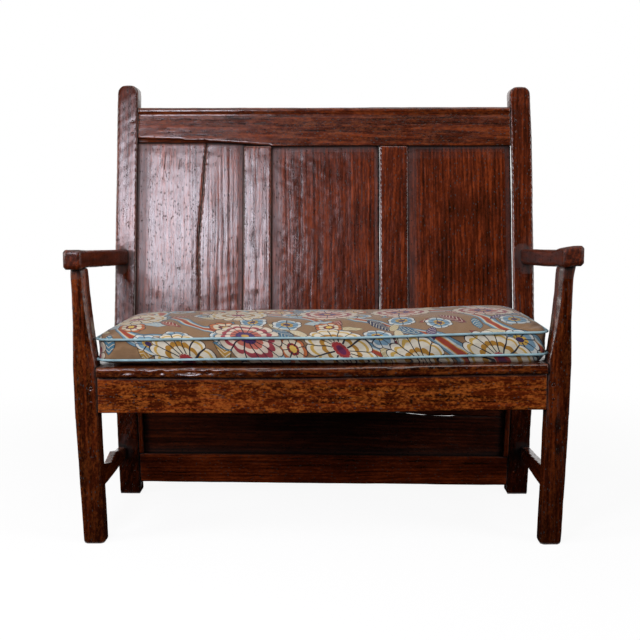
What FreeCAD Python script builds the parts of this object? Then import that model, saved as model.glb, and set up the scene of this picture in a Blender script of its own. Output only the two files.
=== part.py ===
import FreeCAD, Part
import os
import Sketcher

# Settle bench: two bent back posts and two shaped front legs carry a plank seat, two arms and a
# raked boarded back. X runs along the bench, Y from front to back, Z up. The origin is on the floor
# in the middle of the bench. Sizes are in millimetres and degrees.

doc = FreeCAD.newDocument("settle_bench")
sheet = doc.addObject("Spreadsheet::Sheet", "sizes")

SIZES = (
    # back posts: one piece each, bent where the seat meets the back
    ("frame_width", 1196, "over the outer faces of the back posts"),
    ("post_width", 60, "back post across its front face"),
    ("post_depth", 56, "back post from front to back"),
    ("post_height", 1186, "floor to the top of the back posts"),
    ("bend_height", 410, "floor to the bend in the back posts"),
    ("back_rake", 11.1, "lean of the back above the bend"),
    ("foot_kick", 6.6, "kick of the back feet below the bend"),
    ("bend_round", 70, "radius that eases the bend"),
    ("dome_round", 23, "radius of the domed post tops"),
    ("seat_depth", 408, "front legs' faces to the back posts at the bend"),
    # front legs
    ("leg_inset", 42, "front legs' inner faces at the seat, inside the back posts' outer faces"),
    ("foot_toe_in", 9.5, "foot inside the leg's inner face at the seat"),
    ("foot_width", 55, "front leg across, at the floor"),
    ("rail_leg_width", 57, "front leg across, at the seat rail"),
    ("seat_leg_width", 59, "front leg across, at the seat"),
    ("neck_set_out", 18, "neck outside the leg's inner face at the seat"),
    ("neck_width", 39, "front leg across, at the neck"),
    ("neck_height", 620, "floor to the neck"),
    ("top_set_out", 22, "leg's top outside its inner face at the seat"),
    ("top_width", 38, "front leg across, under the arm"),
    ("foot_depth", 50, "front leg from front to back, at the floor"),
    ("leg_depth", 55, "front leg from front to back, at the seat"),
    ("top_depth", 46, "front leg from front to back, under the arm"),
    ("leg_chamfer", 4, "worn corners of the front legs"),
    ("foot_chamfer", 8, "worn corners at the feet"),
    ("neck_chamfer", 12, "wide inner chamfer of the arm supports"),
    # arms
    ("arm_underside", 693, "floor to the arm over the front leg"),
    ("arm_thickness", 43, "arm from top to underside over the leg"),
    ("arm_front_rise", 6, "how much higher the knuckle's top is"),
    ("arm_back_drop", 21, "how much lower the arm is at the back post"),
    ("arm_overhang", 32, "knuckle in front of the leg"),
    ("arm_outer_reveal", 11, "arm outside the leg's outer face"),
    ("arm_back_width", 38, "arm across at the back post"),
    ("knuckle_round", 9, "rounding of the knuckle's end"),
    ("arm_corner", 6, "eased long edges of the arms"),
    # seat
    ("seat_height", 455, "floor to the top of the planks"),
    ("plank_thickness", 25, "seat planks"),
    ("front_plank_depth", 152, "front plank from its nosing to the first joint"),
    ("middle_plank_depth", 128, "middle plank"),
    ("nosing", 9, "nosing in front of the legs' faces"),
    ("nosing_round", 9, "rounded top edge of the nosing"),
    ("nosing_bead", 7, "height of the bead under the nosing"),
    ("nosing_quirk", 2.5, "depth of the sunk line over the bead"),
    ("plank_gap", 1.2, "open joint between two planks"),
    ("plank_end_inset", 8, "planks inside the back posts' outer faces"),
    ("seat_rail_height", 92, "front and side seat rails"),
    ("front_rail_thickness", 30, "front seat rail"),
    ("front_rail_setback", 2, "front seat rail behind the legs' faces"),
    ("rail_edge_round", 4, "worn lower edge of the front seat rail"),
    ("side_rail_thickness", 24, "side seat rails"),
    ("side_rail_inset", 14, "side seat rail inside the back post's outer face"),
    ("bearer_width", 42, "middle seat bearer"),
    ("bearer_height", 42, "middle seat bearer"),
    ("ledger_height", 30, "ledger that carries the back edge of the planks"),
    ("ledger_depth", 24, "ledger from front to back"),
    # side stretchers
    ("stretcher_underside", 114, "floor to the side stretchers"),
    ("stretcher_height", 58, "side stretchers at the front legs"),
    ("stretcher_fall", 24, "how much lower the stretchers' top edges are at the back"),
    ("stretcher_thickness", 22, "side stretchers"),
    ("stretcher_inset", 3, "stretchers inside the back posts' outer faces"),
    ("stretcher_wear", 14, "depth of the dips worn in the left stretcher"),
    # back frame, measured along the slope from the bend
    ("post_horn", 62.8, "back posts above the top edge of the top rail"),
    ("top_rail_height", 112, "top rail"),
    ("top_bead", 14, "height of the bead along the top rail"),
    ("bead_reach", 6, "bead in front of the top rail's face"),
    ("bead_round", 4, "rounding of that bead"),
    ("lip_wear", 23, "height of the lip lost at the left end"),
    ("lip_wear_end", 150, "where the worn lip ends, left of the middle"),
    ("seat_back_rail_upper", 85, "back seat rail above the bend"),
    ("seat_back_rail_lower", 28, "back seat rail below the bend"),
    ("bottom_rail_edge", 382, "bend to the lower edge of the bottom rail"),
    ("bottom_rail_height", 88, "bottom rail"),
    ("back_rail_thickness", 30, "rails of the back frame"),
    ("frame_setback", 2, "back rails behind the posts' faces"),
    ("panel_front", 14, "posts' faces to the boards' faces"),
    ("panel_thickness", 10, "back boards"),
    ("groove_depth", 12, "grooves in the rails"),
    ("rebate_depth", 8, "rebates in the posts and muntins"),
    ("left_muntin_place", -190, "middle of the left muntin"),
    ("right_muntin_place", 204, "middle of the right muntin"),
    ("muntin_width", 81, "muntins"),
    ("split_top", -340, "split between the left boards, at the top"),
    ("split_middle", -360, "split between the left boards, half way up"),
    ("split_bottom", -352, "split between the left boards, at the bottom"),
    ("split_gap", 1.4, "width of that split"),
    ("shrinkage", 1.6, "open line where a board has shrunk clear of its lip"),
    ("lower_split", 166, "bend to the split in the lower back"),
    ("lower_split_gap", 4, "width of that split where it is open"),
    ("crack_start", 45, "where that split opens, right of the middle"),
    ("crack_turn", 205, "where it begins to fall"),
    ("crack_low", 325, "where it has fallen"),
    ("crack_end", 455, "where it begins to close"),
    ("crack_drop", 11, "how far it falls"),
    ("edge_strip_width", 15, "strips beside the lower back"),
    # joints
    ("joint_clearance", 0.3, "tenons, boards and other loose fits"),
    ("tenon_thickness", 11, "tenons"),
    ("tenon_length", 34, "tenons"),
    ("side_tenon_length", 20, "tenons of side rails, stretchers and arms"),
    ("tenon_shoulder", 9, "shoulders above and below a tenon"),
    ("peg_radius", 4, "oak pegs"),
    ("peg_clearance", 0.15, "round a peg"),
    ("peg_proud", 0.8, "peg heads in front of the wood"),
    ("peg_inset", 15, "pegs from the shoulder"),
    # loose cushion
    ("cushion_side_gap", 1.2, "cushion to the front legs"),
    ("cushion_back_gap", 3, "cushion to the back posts"),
    ("cushion_setback", 11, "cushion behind the nosing"),
    ("cushion_corner", 34, "corner radius of the cushion in plan"),
    ("cushion_belly", 16.5, "seat to the lower piping"),
    ("cushion_band", 52, "lower piping to upper piping"),
    ("cushion_crown", 28, "crown above the upper piping"),
    ("crown_reach", 150, "how far in from the piping the crown levels out"),
    ("cushion_tuck", 20, "how far the resting face is drawn in"),
    ("band_draw", 4, "how far the band pulls in between the pipings"),
    ("piping_radius", 3.1, "piping"),
    ("rest_clearance", 0.3, "soft forms to the wood"),
)
for row, (alias, number, meaning) in enumerate(SIZES, start=1):
    sheet.set(f"A{row}", meaning)
    sheet.set(f"B{row}", str(number))
    sheet.setAlias(f"B{row}", alias)
doc.recompute()


def size(alias):
    """A driving dimension as a number."""
    return float(sheet.get(alias))


def value(expression):
    """The number that an expression gives now."""
    return float(sheet.evalExpression(expression))


def named(text):
    """An expression in which each bare alias reads its cell."""
    words = []
    word = ""
    for letter in text + " ":
        if letter.isalnum() or letter in "._":
            word += letter
            continue
        words.append(f"sizes.{word}" if word in ALIASES else word)
        words.append(letter)
        word = ""
    return "".join(words).strip()


ALIASES = {alias for alias, number, meaning in SIZES}

# Places that several pieces share, as expressions of the driving dimensions.
DEPTH_BEHIND = "(seat_depth + (post_height - bend_height) * tan(back_rake) + post_depth)"
MIDDLE_Y = f"(({DEPTH_BEHIND} - arm_overhang) / 2)"
POST_INNER = "(frame_width / 2 - post_width)"
LEG_INNER = "(frame_width / 2 - leg_inset)"
SEAT_OPENING = f"(2 * {LEG_INNER})"
PLANK_UNDERSIDE = "(seat_height - plank_thickness)"
SEAT_RAIL_UNDERSIDE = f"({PLANK_UNDERSIDE} - seat_rail_height)"
SEAT_RAIL_BACK = "(front_rail_setback + front_rail_thickness)"
TENON_FRONT = "(frame_setback + (back_rail_thickness - tenon_thickness) / 2)"
SIDE_RAIL_X = "(frame_width / 2 - side_rail_inset - side_rail_thickness / 2)"
STRETCHER_X = "(frame_width / 2 - stretcher_inset - stretcher_thickness / 2)"
STRETCHER_BACK_HEIGHT = "(stretcher_height - stretcher_fall)"
PANEL_BACK = "(panel_front + panel_thickness)"
TOP_RAIL_EDGE = "((post_height - bend_height) / cos(back_rake) - post_horn)"
UPPER_OPENING_TOP = f"({TOP_RAIL_EDGE} - top_rail_height)"
LOWER_OPENING_END = "(bottom_rail_edge - bottom_rail_height)"
PLANK_HALF = "(frame_width / 2 - plank_end_inset)"
PLANK_BACK = f"(seat_depth + ({PLANK_UNDERSIDE} - bend_height) * tan(back_rake) - joint_clearance)"
FRONT_JOINT = "(front_plank_depth - nosing)"
LEDGER_FRONT = "(seat_depth + frame_setback - ledger_depth)"


def post_face(height):
    """The Y of the back posts' front faces at a height, as an expression."""
    above = value(named(height)) >= value(named("bend_height"))
    slope = "tan(back_rake)" if above else "0 - tan(foot_kick)"
    return f"(seat_depth + ({height} - bend_height) * ({slope}))"


def bind(thing, prop, expression):
    """Tie a property to the driving dimensions."""
    thing.setExpression(prop, named(expression))


def origin_plane(body, role):
    """One of the body's own origin planes."""
    return next(f for f in body.Origin.OriginFeatures if f.Role == role)


def new_body(label, x="0", y="0", z="0", lean=None):
    """A body whose own origin stands at x, y and z of the bench, y counted from the legs' faces.

    lean is an axis and an angle, for the pieces that lie in the raked back or the kicked feet.
    """
    body = doc.addObject("PartDesign::Body", label)
    body.Label = label
    if lean:
        axis, angle = lean
        body.Placement = FreeCAD.Placement(FreeCAD.Vector(), FreeCAD.Rotation(axis, 1))
        bind(body, "Placement.Rotation.Angle", angle)
    bind(body, "Placement.Base.x", x)
    bind(body, "Placement.Base.y", f"{y} - {MIDDLE_Y}")
    bind(body, "Placement.Base.z", z)
    return body


RAKED = (FreeCAD.Vector(-1, 0, 0), "back_rake")
KICKED = (FreeCAD.Vector(1, 0, 0), "foot_kick")


def back_body(label, lean, x="0"):
    """A body in the plane of the back: X along the bench, Y into the back, Z along the slope."""
    return new_body(label, x=x, y="seat_depth", z="bend_height", lean=lean)


def outline(body, name, role, points, offset="0"):
    """A closed sketch on one of the body's origin planes, through points given as expressions."""
    sketch = body.newObject("Sketcher::SketchObject", name)
    sketch.AttachmentSupport = [(origin_plane(body, role), "")]
    sketch.MapMode = "FlatFace"
    bind(sketch, "AttachmentOffset.Base.z", offset)
    spots = [FreeCAD.Vector(value(named(a)), value(named(b)), 0) for a, b in points]
    count = len(points)
    for index, spot in enumerate(spots):
        sketch.addGeometry(Part.LineSegment(spot, spots[(index + 1) % count]), False)
    for index, (across, along) in enumerate(points):
        sketch.addConstraint(Sketcher.Constraint("Coincident", index, 2, (index + 1) % count, 1))
        for kind, expression, number in (("DistanceX", across, spots[index].x),
                                         ("DistanceY", along, spots[index].y)):
            place = sketch.addConstraint(Sketcher.Constraint(kind, -1, 1, index, 1, number))
            bind(sketch, f"Constraints[{place}]", expression)
    return sketch


def pad(body, sketch, length, symmetric=False, reverse=False):
    """A sketch made solid."""
    feature = body.newObject("PartDesign::Pad", f"{sketch.Name}_pad")
    feature.Profile = sketch
    feature.SideType = "Symmetric" if symmetric else "One side"
    feature.Reversed = reverse
    bind(feature, "Length", length)
    return feature


def pocket(body, sketch, length, symmetric=False, reverse=False):
    """A sketch cut away, with a check that it took wood."""
    doc.recompute()
    before = body.Shape.Volume
    feature = body.newObject("PartDesign::Pocket", f"{sketch.Name}_cut")
    feature.Profile = sketch
    feature.SideType = "Symmetric" if symmetric else "One side"
    feature.Reversed = reverse
    bind(feature, "Length", length)
    doc.recompute()
    if body.Shape.Volume >= before:
        raise RuntimeError(f"{body.Label}: {sketch.Name} cuts nothing")
    return feature


def loft(body, name, sections, ruled):
    """A solid through a row of section sketches."""
    feature = body.newObject("PartDesign::AdditiveLoft", name)
    feature.Profile = sections[0]
    feature.Sections = [(section, [""]) for section in sections[1:]]
    feature.Ruled = ruled
    return feature


def turned(place, lean, pivot=("0", "0")):
    """Where a point given along a lean's own directions lies in the body, as expressions."""
    x, y, z = place
    axis, angle = lean
    toward, away = ("+", "-") if axis.x < 0 else ("-", "+")
    return (x, f"({pivot[0]} + ({y}) * cos({angle}) {toward} ({z}) * sin({angle}))",
            f"({pivot[1]} + ({z}) * cos({angle}) {away} ({y}) * sin({angle}))")


def block(body, name, box, cut=False, lean=None, pivot=("0", "0")):
    """A rectangular tenon, or a mortise when cut, from its low corner and its extents.

    With lean the block is turned about an X axis through the pivot, a Y and a Z of the body, and
    its corner is counted from there in the turned directions.
    """
    kind = "PartDesign::SubtractiveBox" if cut else "PartDesign::AdditiveBox"
    feature = body.newObject(kind, name)
    feature.AttachmentSupport = [(origin_plane(body, "XY_Plane"), "")]
    feature.MapMode = "FlatFace"
    corner, extent = box
    if lean:
        axis, angle = lean
        feature.AttachmentOffset = FreeCAD.Placement(FreeCAD.Vector(), FreeCAD.Rotation(axis, 1))
        bind(feature, "AttachmentOffset.Rotation.Angle", angle)
        corner = turned(corner, lean, pivot)
    for letter, place in zip("xyz", corner):
        bind(feature, f"AttachmentOffset.Base.{letter}", place)
    for prop, length in zip(("Length", "Width", "Height"), extent):
        bind(feature, prop, length)
    return feature


def grown(box):
    """The mortise round a tenon: the same box with the clearance on every side."""
    corner, extent = box
    return (tuple(f"({place} - joint_clearance)" for place in corner),
            tuple(f"({length} + 2 * joint_clearance)" for length in extent))


def seen_from(box, x="0", y="0", z="0"):
    """A box or a point of the bench, counted from a body's origin at x, y, z."""
    corner = tuple(f"({place} - ({start}))" for place, start in zip(box[0], (x, y, z)))
    return (corner,) + tuple(box[1:])


# Pegs are split and shaved to eight sides. Each runs from a start, for a length, along +X or into
# the back: straight, or square to the raked or the kicked face.
SIDES = 8
TO_THE_RIGHT = (FreeCAD.Vector(0, 1, 0), "90")
TO_THE_BACK = (FreeCAD.Vector(-1, 0, 0), "90")
INTO_THE_RAKE = (FreeCAD.Vector(-1, 0, 0), "90 + back_rake")
INTO_THE_KICK = (FreeCAD.Vector(-1, 0, 0), "90 - foot_kick")


def bore(body, name, start, length, way):
    """A peg hole, with the peg's eight sides."""
    feature = body.newObject("PartDesign::SubtractivePrism", name)
    feature.Polygon = SIDES
    feature.AttachmentSupport = [(origin_plane(body, "XY_Plane"), "")]
    feature.MapMode = "FlatFace"
    axis, angle = way
    feature.AttachmentOffset = FreeCAD.Placement(FreeCAD.Vector(), FreeCAD.Rotation(axis, 1))
    bind(feature, "AttachmentOffset.Rotation.Angle", angle)
    for letter, place in zip("xyz", start):
        bind(feature, f"AttachmentOffset.Base.{letter}", place)
    bind(feature, "Circumradius", "peg_radius + peg_clearance")
    bind(feature, "Height", length)
    return feature


def peg(start, length, way):
    """A peg, placed in the bench with y counted from the legs' faces."""
    bar = doc.addObject("Part::Prism", "peg")
    bar.Polygon = SIDES
    axis, angle = way
    bar.Placement = FreeCAD.Placement(FreeCAD.Vector(), FreeCAD.Rotation(axis, 1))
    bind(bar, "Placement.Rotation.Angle", angle)
    bind(bar, "Placement.Base.x", start[0])
    bind(bar, "Placement.Base.y", f"{start[1]} - {MIDDLE_Y}")
    bind(bar, "Placement.Base.z", start[2])
    bind(bar, "Circumradius", "peg_radius")
    bind(bar, "Height", length)
    return bar


def group(label, bars):
    """Like pegs as separate solids under one name."""
    compound = doc.addObject("Part::Compound", label)
    compound.Label = label
    compound.Links = bars
    return compound


def edges_where(body, test):
    """The names of the edges of a body whose middle point and direction pass a test."""
    doc.recompute()
    found = []
    for index, edge in enumerate(body.Shape.Edges, start=1):
        ends = [vertex.Point for vertex in edge.Vertexes]
        if len(ends) == 2 and test(ends[0], ends[1]):
            found.append(f"Edge{index}")
    if not found:
        raise RuntimeError(f"{body.Label}: no edge to work")
    return found


def dress(body, kind, prop, expression, test):
    """A fillet or a chamfer on the edges of the body's last feature that pass the test."""
    names = edges_where(body, lambda a, b: test(body.Placement.inverse() * a,
                                                body.Placement.inverse() * b))
    base = body.Tip
    feature = body.newObject(kind, f"{kind.split('::')[1]}_{len(body.Group)}")
    feature.Base = (base, names)
    bind(feature, prop, expression)
    return feature


def near(a, b):
    """Whether two lengths are the same."""
    return abs(a - b) < 0.01


def cut_to_back(body, half_width, pivot, setback="0", upper=True, lower=True):
    """Trim a body where it meets the back: the raked face above the bend, the kicked one below."""
    reach = "(3 * seat_depth)"
    width = f"(2 * {half_width})"
    if upper:
        box = ((f"(0 - {half_width})", setback, "0"), (width, reach, reach))
        block(body, "raked_end", box, cut=True, lean=RAKED, pivot=pivot)
    if lower:
        box = ((f"(0 - {half_width})", setback, f"(0 - {reach})"), (width, reach, reach))
        block(body, "kicked_end", box, cut=True, lean=KICKED, pivot=pivot)


# Tenons that two pieces share, as boxes of the bench: a low corner and the extents.

def low(side, centre, width):
    """The low X of something centred at side times centre."""
    return f"({side} * {centre} - {width} / 2)"


def front_rail_tenon(side):
    start = LEG_INNER if side > 0 else f"(0 - {LEG_INNER} - tenon_length)"
    return ((start, "(front_rail_setback + (front_rail_thickness - tenon_thickness) / 2)",
             f"({SEAT_RAIL_UNDERSIDE} + tenon_shoulder)"),
            ("tenon_length", "tenon_thickness", "(seat_rail_height - 2 * tenon_shoulder)"))


def side_tenon(side, centre, start, underside, height):
    """A tenon that runs front to back; it starts within its own piece by the tenon's length."""
    return ((low(side, centre, "tenon_thickness"), start, f"({underside} + tenon_shoulder)"),
            ("tenon_thickness", "(2 * side_tenon_length)", f"({height} - 2 * tenon_shoulder)"))


def side_rail_tenons(side):
    middle = f"({SEAT_RAIL_UNDERSIDE} + seat_rail_height / 2)"
    return [side_tenon(side, SIDE_RAIL_X, start, SEAT_RAIL_UNDERSIDE, "seat_rail_height")
            for start in ("(leg_depth - side_tenon_length)",
                          f"({post_face(middle)} - side_tenon_length)")]


def stretcher_tenons(side):
    middle = f"(stretcher_underside + {STRETCHER_BACK_HEIGHT} / 2)"
    return [side_tenon(side, STRETCHER_X, start, "stretcher_underside", height)
            for start, height in (
                ("(leg_depth - side_tenon_length)", "stretcher_height"),
                (f"({post_face(middle)} - side_tenon_length)", STRETCHER_BACK_HEIGHT))]


ARM_BACK_X = "((frame_width - post_width) / 2 + (post_width - arm_back_width) / 2 - joint_clearance)"
ARM_BACK_UNDERSIDE = "(arm_underside - arm_back_drop)"
ARM_LEG_X = f"({LEG_INNER} + top_set_out + top_width / 2)"


def arm_back_tenon(side):
    middle = f"({ARM_BACK_UNDERSIDE} + arm_thickness / 2)"
    return side_tenon(side, ARM_BACK_X, f"({post_face(middle)} - side_tenon_length)",
                      ARM_BACK_UNDERSIDE, "arm_thickness")


def leg_top_tenon(side):
    length = "(top_depth - 2 * tenon_shoulder)"
    width = "(top_width / 2)"
    return ((low(side, ARM_LEG_X, width), "tenon_shoulder", "arm_underside - tenon_shoulder"),
            (width, length, "(arm_thickness * 0.6 + tenon_shoulder)"))


def back_tenon(side, lowest, height):
    """A tenon of a back rail, in the plane of the back."""
    start = POST_INNER if side > 0 else f"(0 - {POST_INNER} - tenon_length)"
    return ((start, TENON_FRONT, lowest), ("tenon_length", "tenon_thickness", height))


def top_rail_tenon(side):
    margin = "(groove_depth + tenon_shoulder)"
    return back_tenon(side, f"({UPPER_OPENING_TOP} + {margin})",
                      f"(top_rail_height - {margin} - top_bead - tenon_shoulder)")


def seat_back_rail_tenon(side):
    """This tenon stands clear above the side seat rail's, from the planks' underside up."""
    start = (f"(({PLANK_UNDERSIDE} - bend_height + (frame_setback + back_rail_thickness)"
             " * sin(back_rake)) / cos(back_rake))")
    return back_tenon(side, start,
                      f"(seat_back_rail_upper - groove_depth - tenon_shoulder - {start})")


def bottom_rail_tenon(side):
    return back_tenon(side, "(0 - bottom_rail_edge + tenon_shoulder)",
                      "(bottom_rail_height - groove_depth - 2 * tenon_shoulder)")


# Peg places, as a start, a length and a way.

def side_pegs(side):
    """Pegs through the side rails, stretchers and arms, driven from the outside."""
    rail_middle = f"({SEAT_RAIL_UNDERSIDE} + seat_rail_height / 2)"
    low_middle = "(stretcher_underside + stretcher_height / 2)"
    low_back = f"(stretcher_underside + {STRETCHER_BACK_HEIGHT} / 2)"
    arm_middle = f"({ARM_BACK_UNDERSIDE} + arm_thickness / 2)"
    post_outer = "(frame_width / 2)"
    rail_outer = f"({LEG_INNER} + rail_leg_width)"
    foot_outer = f"({LEG_INNER} - foot_toe_in + foot_width)"
    low_outer = (f"({foot_outer} + ({rail_outer} - {foot_outer}) * {low_middle}"
                 f" / {SEAT_RAIL_UNDERSIDE})")
    half = "side_tenon_length / 2"
    places = {"seat": [(rail_outer, f"leg_depth - {half}", rail_middle),
                       (post_outer, f"{post_face(rail_middle)} + {half}", rail_middle)],
              "low": [(low_outer, f"leg_depth - {half}", low_middle),
                      (post_outer, f"{post_face(low_back)} + {half}", low_back)],
              "arm": [(post_outer, f"{post_face(arm_middle)} + {half}", arm_middle)]}
    pegs = {}
    for joint, spots in places.items():
        pegs[joint] = []
        for outer, y, z in spots:
            tip = f"({SIDE_RAIL_X} - side_rail_thickness / 2)"
            head = f"({outer} + peg_proud)"
            start = tip if side > 0 else f"(0 - {head})"
            pegs[joint].append(((start, f"({y})", z), f"({head} - {tip})", TO_THE_RIGHT))
    return pegs


def front_pegs(side):
    """Two pegs through each end of the front seat rail, driven from the front."""
    return [((f"({side} * ({LEG_INNER} + peg_inset))", "(0 - peg_proud)",
              f"({SEAT_RAIL_UNDERSIDE} + seat_rail_height * {share})"),
             f"({SEAT_RAIL_BACK} + peg_proud)", TO_THE_BACK) for share in ("0.3", "0.7")]


def back_pegs(side):
    """Pegs through the back rails' tenons, square to the posts' faces."""
    x = f"({side} * ({POST_INNER} + peg_inset))"
    length = "(frame_setback + back_rail_thickness + peg_proud)"
    spots = []
    lowest, height = top_rail_tenon(side)[0][2], top_rail_tenon(side)[1][2]
    for share in ("0.25", "0.75"):
        spots.append((f"({lowest} + {height} * {share})", RAKED, INTO_THE_RAKE))
    lowest, height = seat_back_rail_tenon(side)[0][2], seat_back_rail_tenon(side)[1][2]
    spots.append((f"({lowest} + {height} / 2)", RAKED, INTO_THE_RAKE))
    lowest, height = bottom_rail_tenon(side)[0][2], bottom_rail_tenon(side)[1][2]
    spots.append((f"({lowest} + {height} / 2)", KICKED, INTO_THE_KICK))
    return [((x, "(0 - peg_proud)", slope), lean, length, way) for slope, lean, way in spots]


def back_post(side, label):
    """A bent post: a straight foot that kicks back, a raked upper part and a domed top."""
    centre = f"({side} * (frame_width - post_width) / 2)"
    origin = (centre, "seat_depth", "bend_height")
    body = new_body(label, *origin)
    head = "(post_height - bend_height)"
    lean_back = f"{head} * tan(back_rake)"
    foot_back = "bend_height * tan(foot_kick)"
    pad(body, outline(body, "bent_side", "YZ_Plane", (
        (foot_back, "0 - bend_height"), ("0", "0"), (lean_back, head),
        (f"{lean_back} + post_depth", head), ("post_depth", "0"),
        (f"{foot_back} + post_depth", "0 - bend_height"))), "post_width", symmetric=True)
    top = value(named(head))
    dress(body, "PartDesign::Fillet", "Radius", "bend_round",
          lambda a, b: near(a.z, 0) and near(b.z, 0) and near(a.y, b.y))
    dress(body, "PartDesign::Fillet", "Radius", "dome_round",
          lambda a, b: near(a.z, top) and near(b.z, top) and near(a.x, b.x))
    inner = "(post_width / 2 - rebate_depth)" if side < 0 else "(0 - post_width / 2)"
    rebates = ((RAKED, "seat_back_rail_upper", f"({UPPER_OPENING_TOP} - seat_back_rail_upper)"),
               (KICKED, f"(0 - {LOWER_OPENING_END})",
                f"({LOWER_OPENING_END} - seat_back_rail_lower)"))
    for lean, start, length in rebates:
        block(body, "board_rebate", ((inner, "panel_front - joint_clearance",
                                      f"({start} - groove_depth)"),
                                     ("rebate_depth", "2 * post_depth",
                                      f"({length} + 2 * groove_depth)")), cut=True, lean=lean)
    for tenon, lean in ((top_rail_tenon(side), RAKED), (seat_back_rail_tenon(side), RAKED),
                        (bottom_rail_tenon(side), KICKED)):
        block(body, "rail_mortise", grown(seen_from(tenon, x=centre)), cut=True, lean=lean)
    for tenon in (side_rail_tenons(side)[1], stretcher_tenons(side)[1], arm_back_tenon(side)):
        block(body, "side_mortise", grown(seen_from(tenon, *origin)), cut=True)
    for start, lean, length, way in back_pegs(side):
        bore(body, "peg_hole", turned(seen_from((start,), x=centre)[0], lean), length, way)
    for pegs in side_pegs(side).values():
        start, length, way = pegs[-1]
        bore(body, "peg_hole", seen_from((start,), *origin)[0], length, way)
    return body


def leg_section(body, name, side, height, set_out, width, front, back, chamfer, inner_chamfer):
    """One section of a front leg: a rectangle with worn corners, the inner front one wider."""
    inner = f"({side} * ({set_out}))"
    outer = f"({side} * ({set_out} + {width}))"
    return outline(body, name, "XY_Plane", (
        (f"{inner} + {side} * {inner_chamfer}", front), (f"{outer} - {side} * {chamfer}", front),
        (outer, f"{front} + {chamfer}"), (outer, f"{back} - {chamfer}"),
        (f"{outer} - {side} * {chamfer}", back), (f"{inner} + {side} * {chamfer}", back),
        (inner, f"{back} - {chamfer}"), (inner, f"{front} + {inner_chamfer}")), offset=height)


def front_leg(side, label):
    """A leg that toes in to its foot, swells at the seat and thins to the neck under the arm."""
    origin = (f"({side} * {LEG_INNER})", "0", "0")
    body = new_body(label, *origin)
    foot = leg_section(body, "foot", side, "0", "0 - foot_toe_in", "foot_width",
                       "(leg_depth - foot_depth)", "leg_depth", "foot_chamfer", "foot_chamfer")
    rail = leg_section(body, "rail_level", side, SEAT_RAIL_UNDERSIDE, "0", "rail_leg_width",
                       "0", "leg_depth", "leg_chamfer", "leg_chamfer")
    seat = leg_section(body, "seat_level", side, "seat_height", "0", "seat_leg_width",
                       "0", "leg_depth", "leg_chamfer", "leg_chamfer")
    neck = leg_section(body, "neck", side, "neck_height", "neck_set_out", "neck_width",
                       "0", "((leg_depth + top_depth) / 2)", "leg_chamfer", "neck_chamfer")
    top = leg_section(body, "under_arm", side, "arm_underside", "top_set_out", "top_width",
                      "0", "top_depth", "leg_chamfer", "neck_chamfer")
    loft(body, "lower_leg", [foot, rail], True)
    loft(body, "seat_block", [rail, seat], True)
    loft(body, "arm_support", [seat, neck, top], False)
    block(body, "arm_tenon", seen_from(leg_top_tenon(side), *origin))
    block(body, "front_mortise", grown(seen_from(front_rail_tenon(side), *origin)), cut=True)
    for tenon in (side_rail_tenons(side)[0], stretcher_tenons(side)[0]):
        block(body, "side_mortise", grown(seen_from(tenon, *origin)), cut=True)
    for start, length, way in front_pegs(side):
        bore(body, "peg_hole", seen_from((start,), *origin)[0], length, way)
    for joint in ("seat", "low"):
        start, length, way = side_pegs(side)[joint][0]
        bore(body, "peg_hole", seen_from((start,), *origin)[0], length, way)
    return body


def arm_section(body, name, side, y, inner, outer, underside, top, corner, inset="0"):
    """One section across an arm: a rectangle with eased corners, drawn in by an inset."""
    a = f"({side} * ({inner} + {inset}))"
    b = f"({side} * ({outer} - {inset}))"
    lowest = f"({underside} + {inset})"
    highest = f"({top} - {inset})"
    return outline(body, name, "XZ_Plane", (
        (f"{a} + {side} * {corner}", lowest), (f"{b} - {side} * {corner}", lowest),
        (b, f"{lowest} + {corner}"), (b, f"{highest} - {corner}"),
        (f"{b} - {side} * {corner}", highest), (f"{a} + {side} * {corner}", highest),
        (a, f"{highest} - {corner}"), (a, f"{lowest} + {corner}")), offset=f"0 - ({y})")


def arm(side, label):
    """An arm: a rounded knuckle over the leg, then a bar that drops and thins to the back post."""
    origin = (f"({side} * {LEG_INNER})", "0", "arm_underside")
    body = new_body(label, *origin)
    leg_in = "top_set_out"
    leg_out = "(top_set_out + top_width + arm_outer_reveal)"
    front_top = "(arm_thickness + arm_front_rise)"
    back_in = f"({ARM_BACK_X} - arm_back_width / 2 - {LEG_INNER})"
    back_out = f"({ARM_BACK_X} + arm_back_width / 2 - {LEG_INNER})"
    back_top = "(arm_thickness - arm_back_drop)"
    stations = []
    for turn in (0, 45, 90):
        y = f"(0 - arm_overhang + knuckle_round * (1 - cos({turn})))"
        inset = f"(knuckle_round * (1 - sin({turn})))"
        stations.append(arm_section(body, f"knuckle_{turn}", side, y, leg_in, leg_out, "0",
                                    front_top, "arm_corner", inset))
    over_leg = arm_section(body, "over_leg", side, "leg_depth", leg_in, leg_out, "0",
                           "arm_thickness", "arm_corner")
    middle = arm_section(body, "middle", side, "seat_depth / 2", f"(({leg_in} + {back_in}) / 2)",
                         f"(({leg_out} + {back_out}) / 2)", "(0 - arm_back_drop / 3)",
                         "(arm_thickness - arm_back_drop / 3)", "arm_corner")
    past_post = f"({post_face(ARM_BACK_UNDERSIDE)} + arm_thickness)"
    end = arm_section(body, "back_end", side, past_post, back_in, back_out,
                      "(0 - arm_back_drop)", back_top, "arm_corner")
    for first, second in zip(stations, stations[1:] + [over_leg]):
        loft(body, "knuckle", [first, second], True)
    loft(body, "bar", [over_leg, middle, end], False)
    cut_to_back(body, "seat_depth", ("seat_depth", "(bend_height - arm_underside)"), lower=False)
    block(body, "back_tenon", seen_from(arm_back_tenon(side), *origin))
    block(body, "leg_mortise", grown(seen_from(leg_top_tenon(side), *origin)), cut=True)
    start, length, way = side_pegs(side)["arm"][0]
    bore(body, "peg_hole", seen_from((start,), *origin)[0], length, way)
    return body


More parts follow.
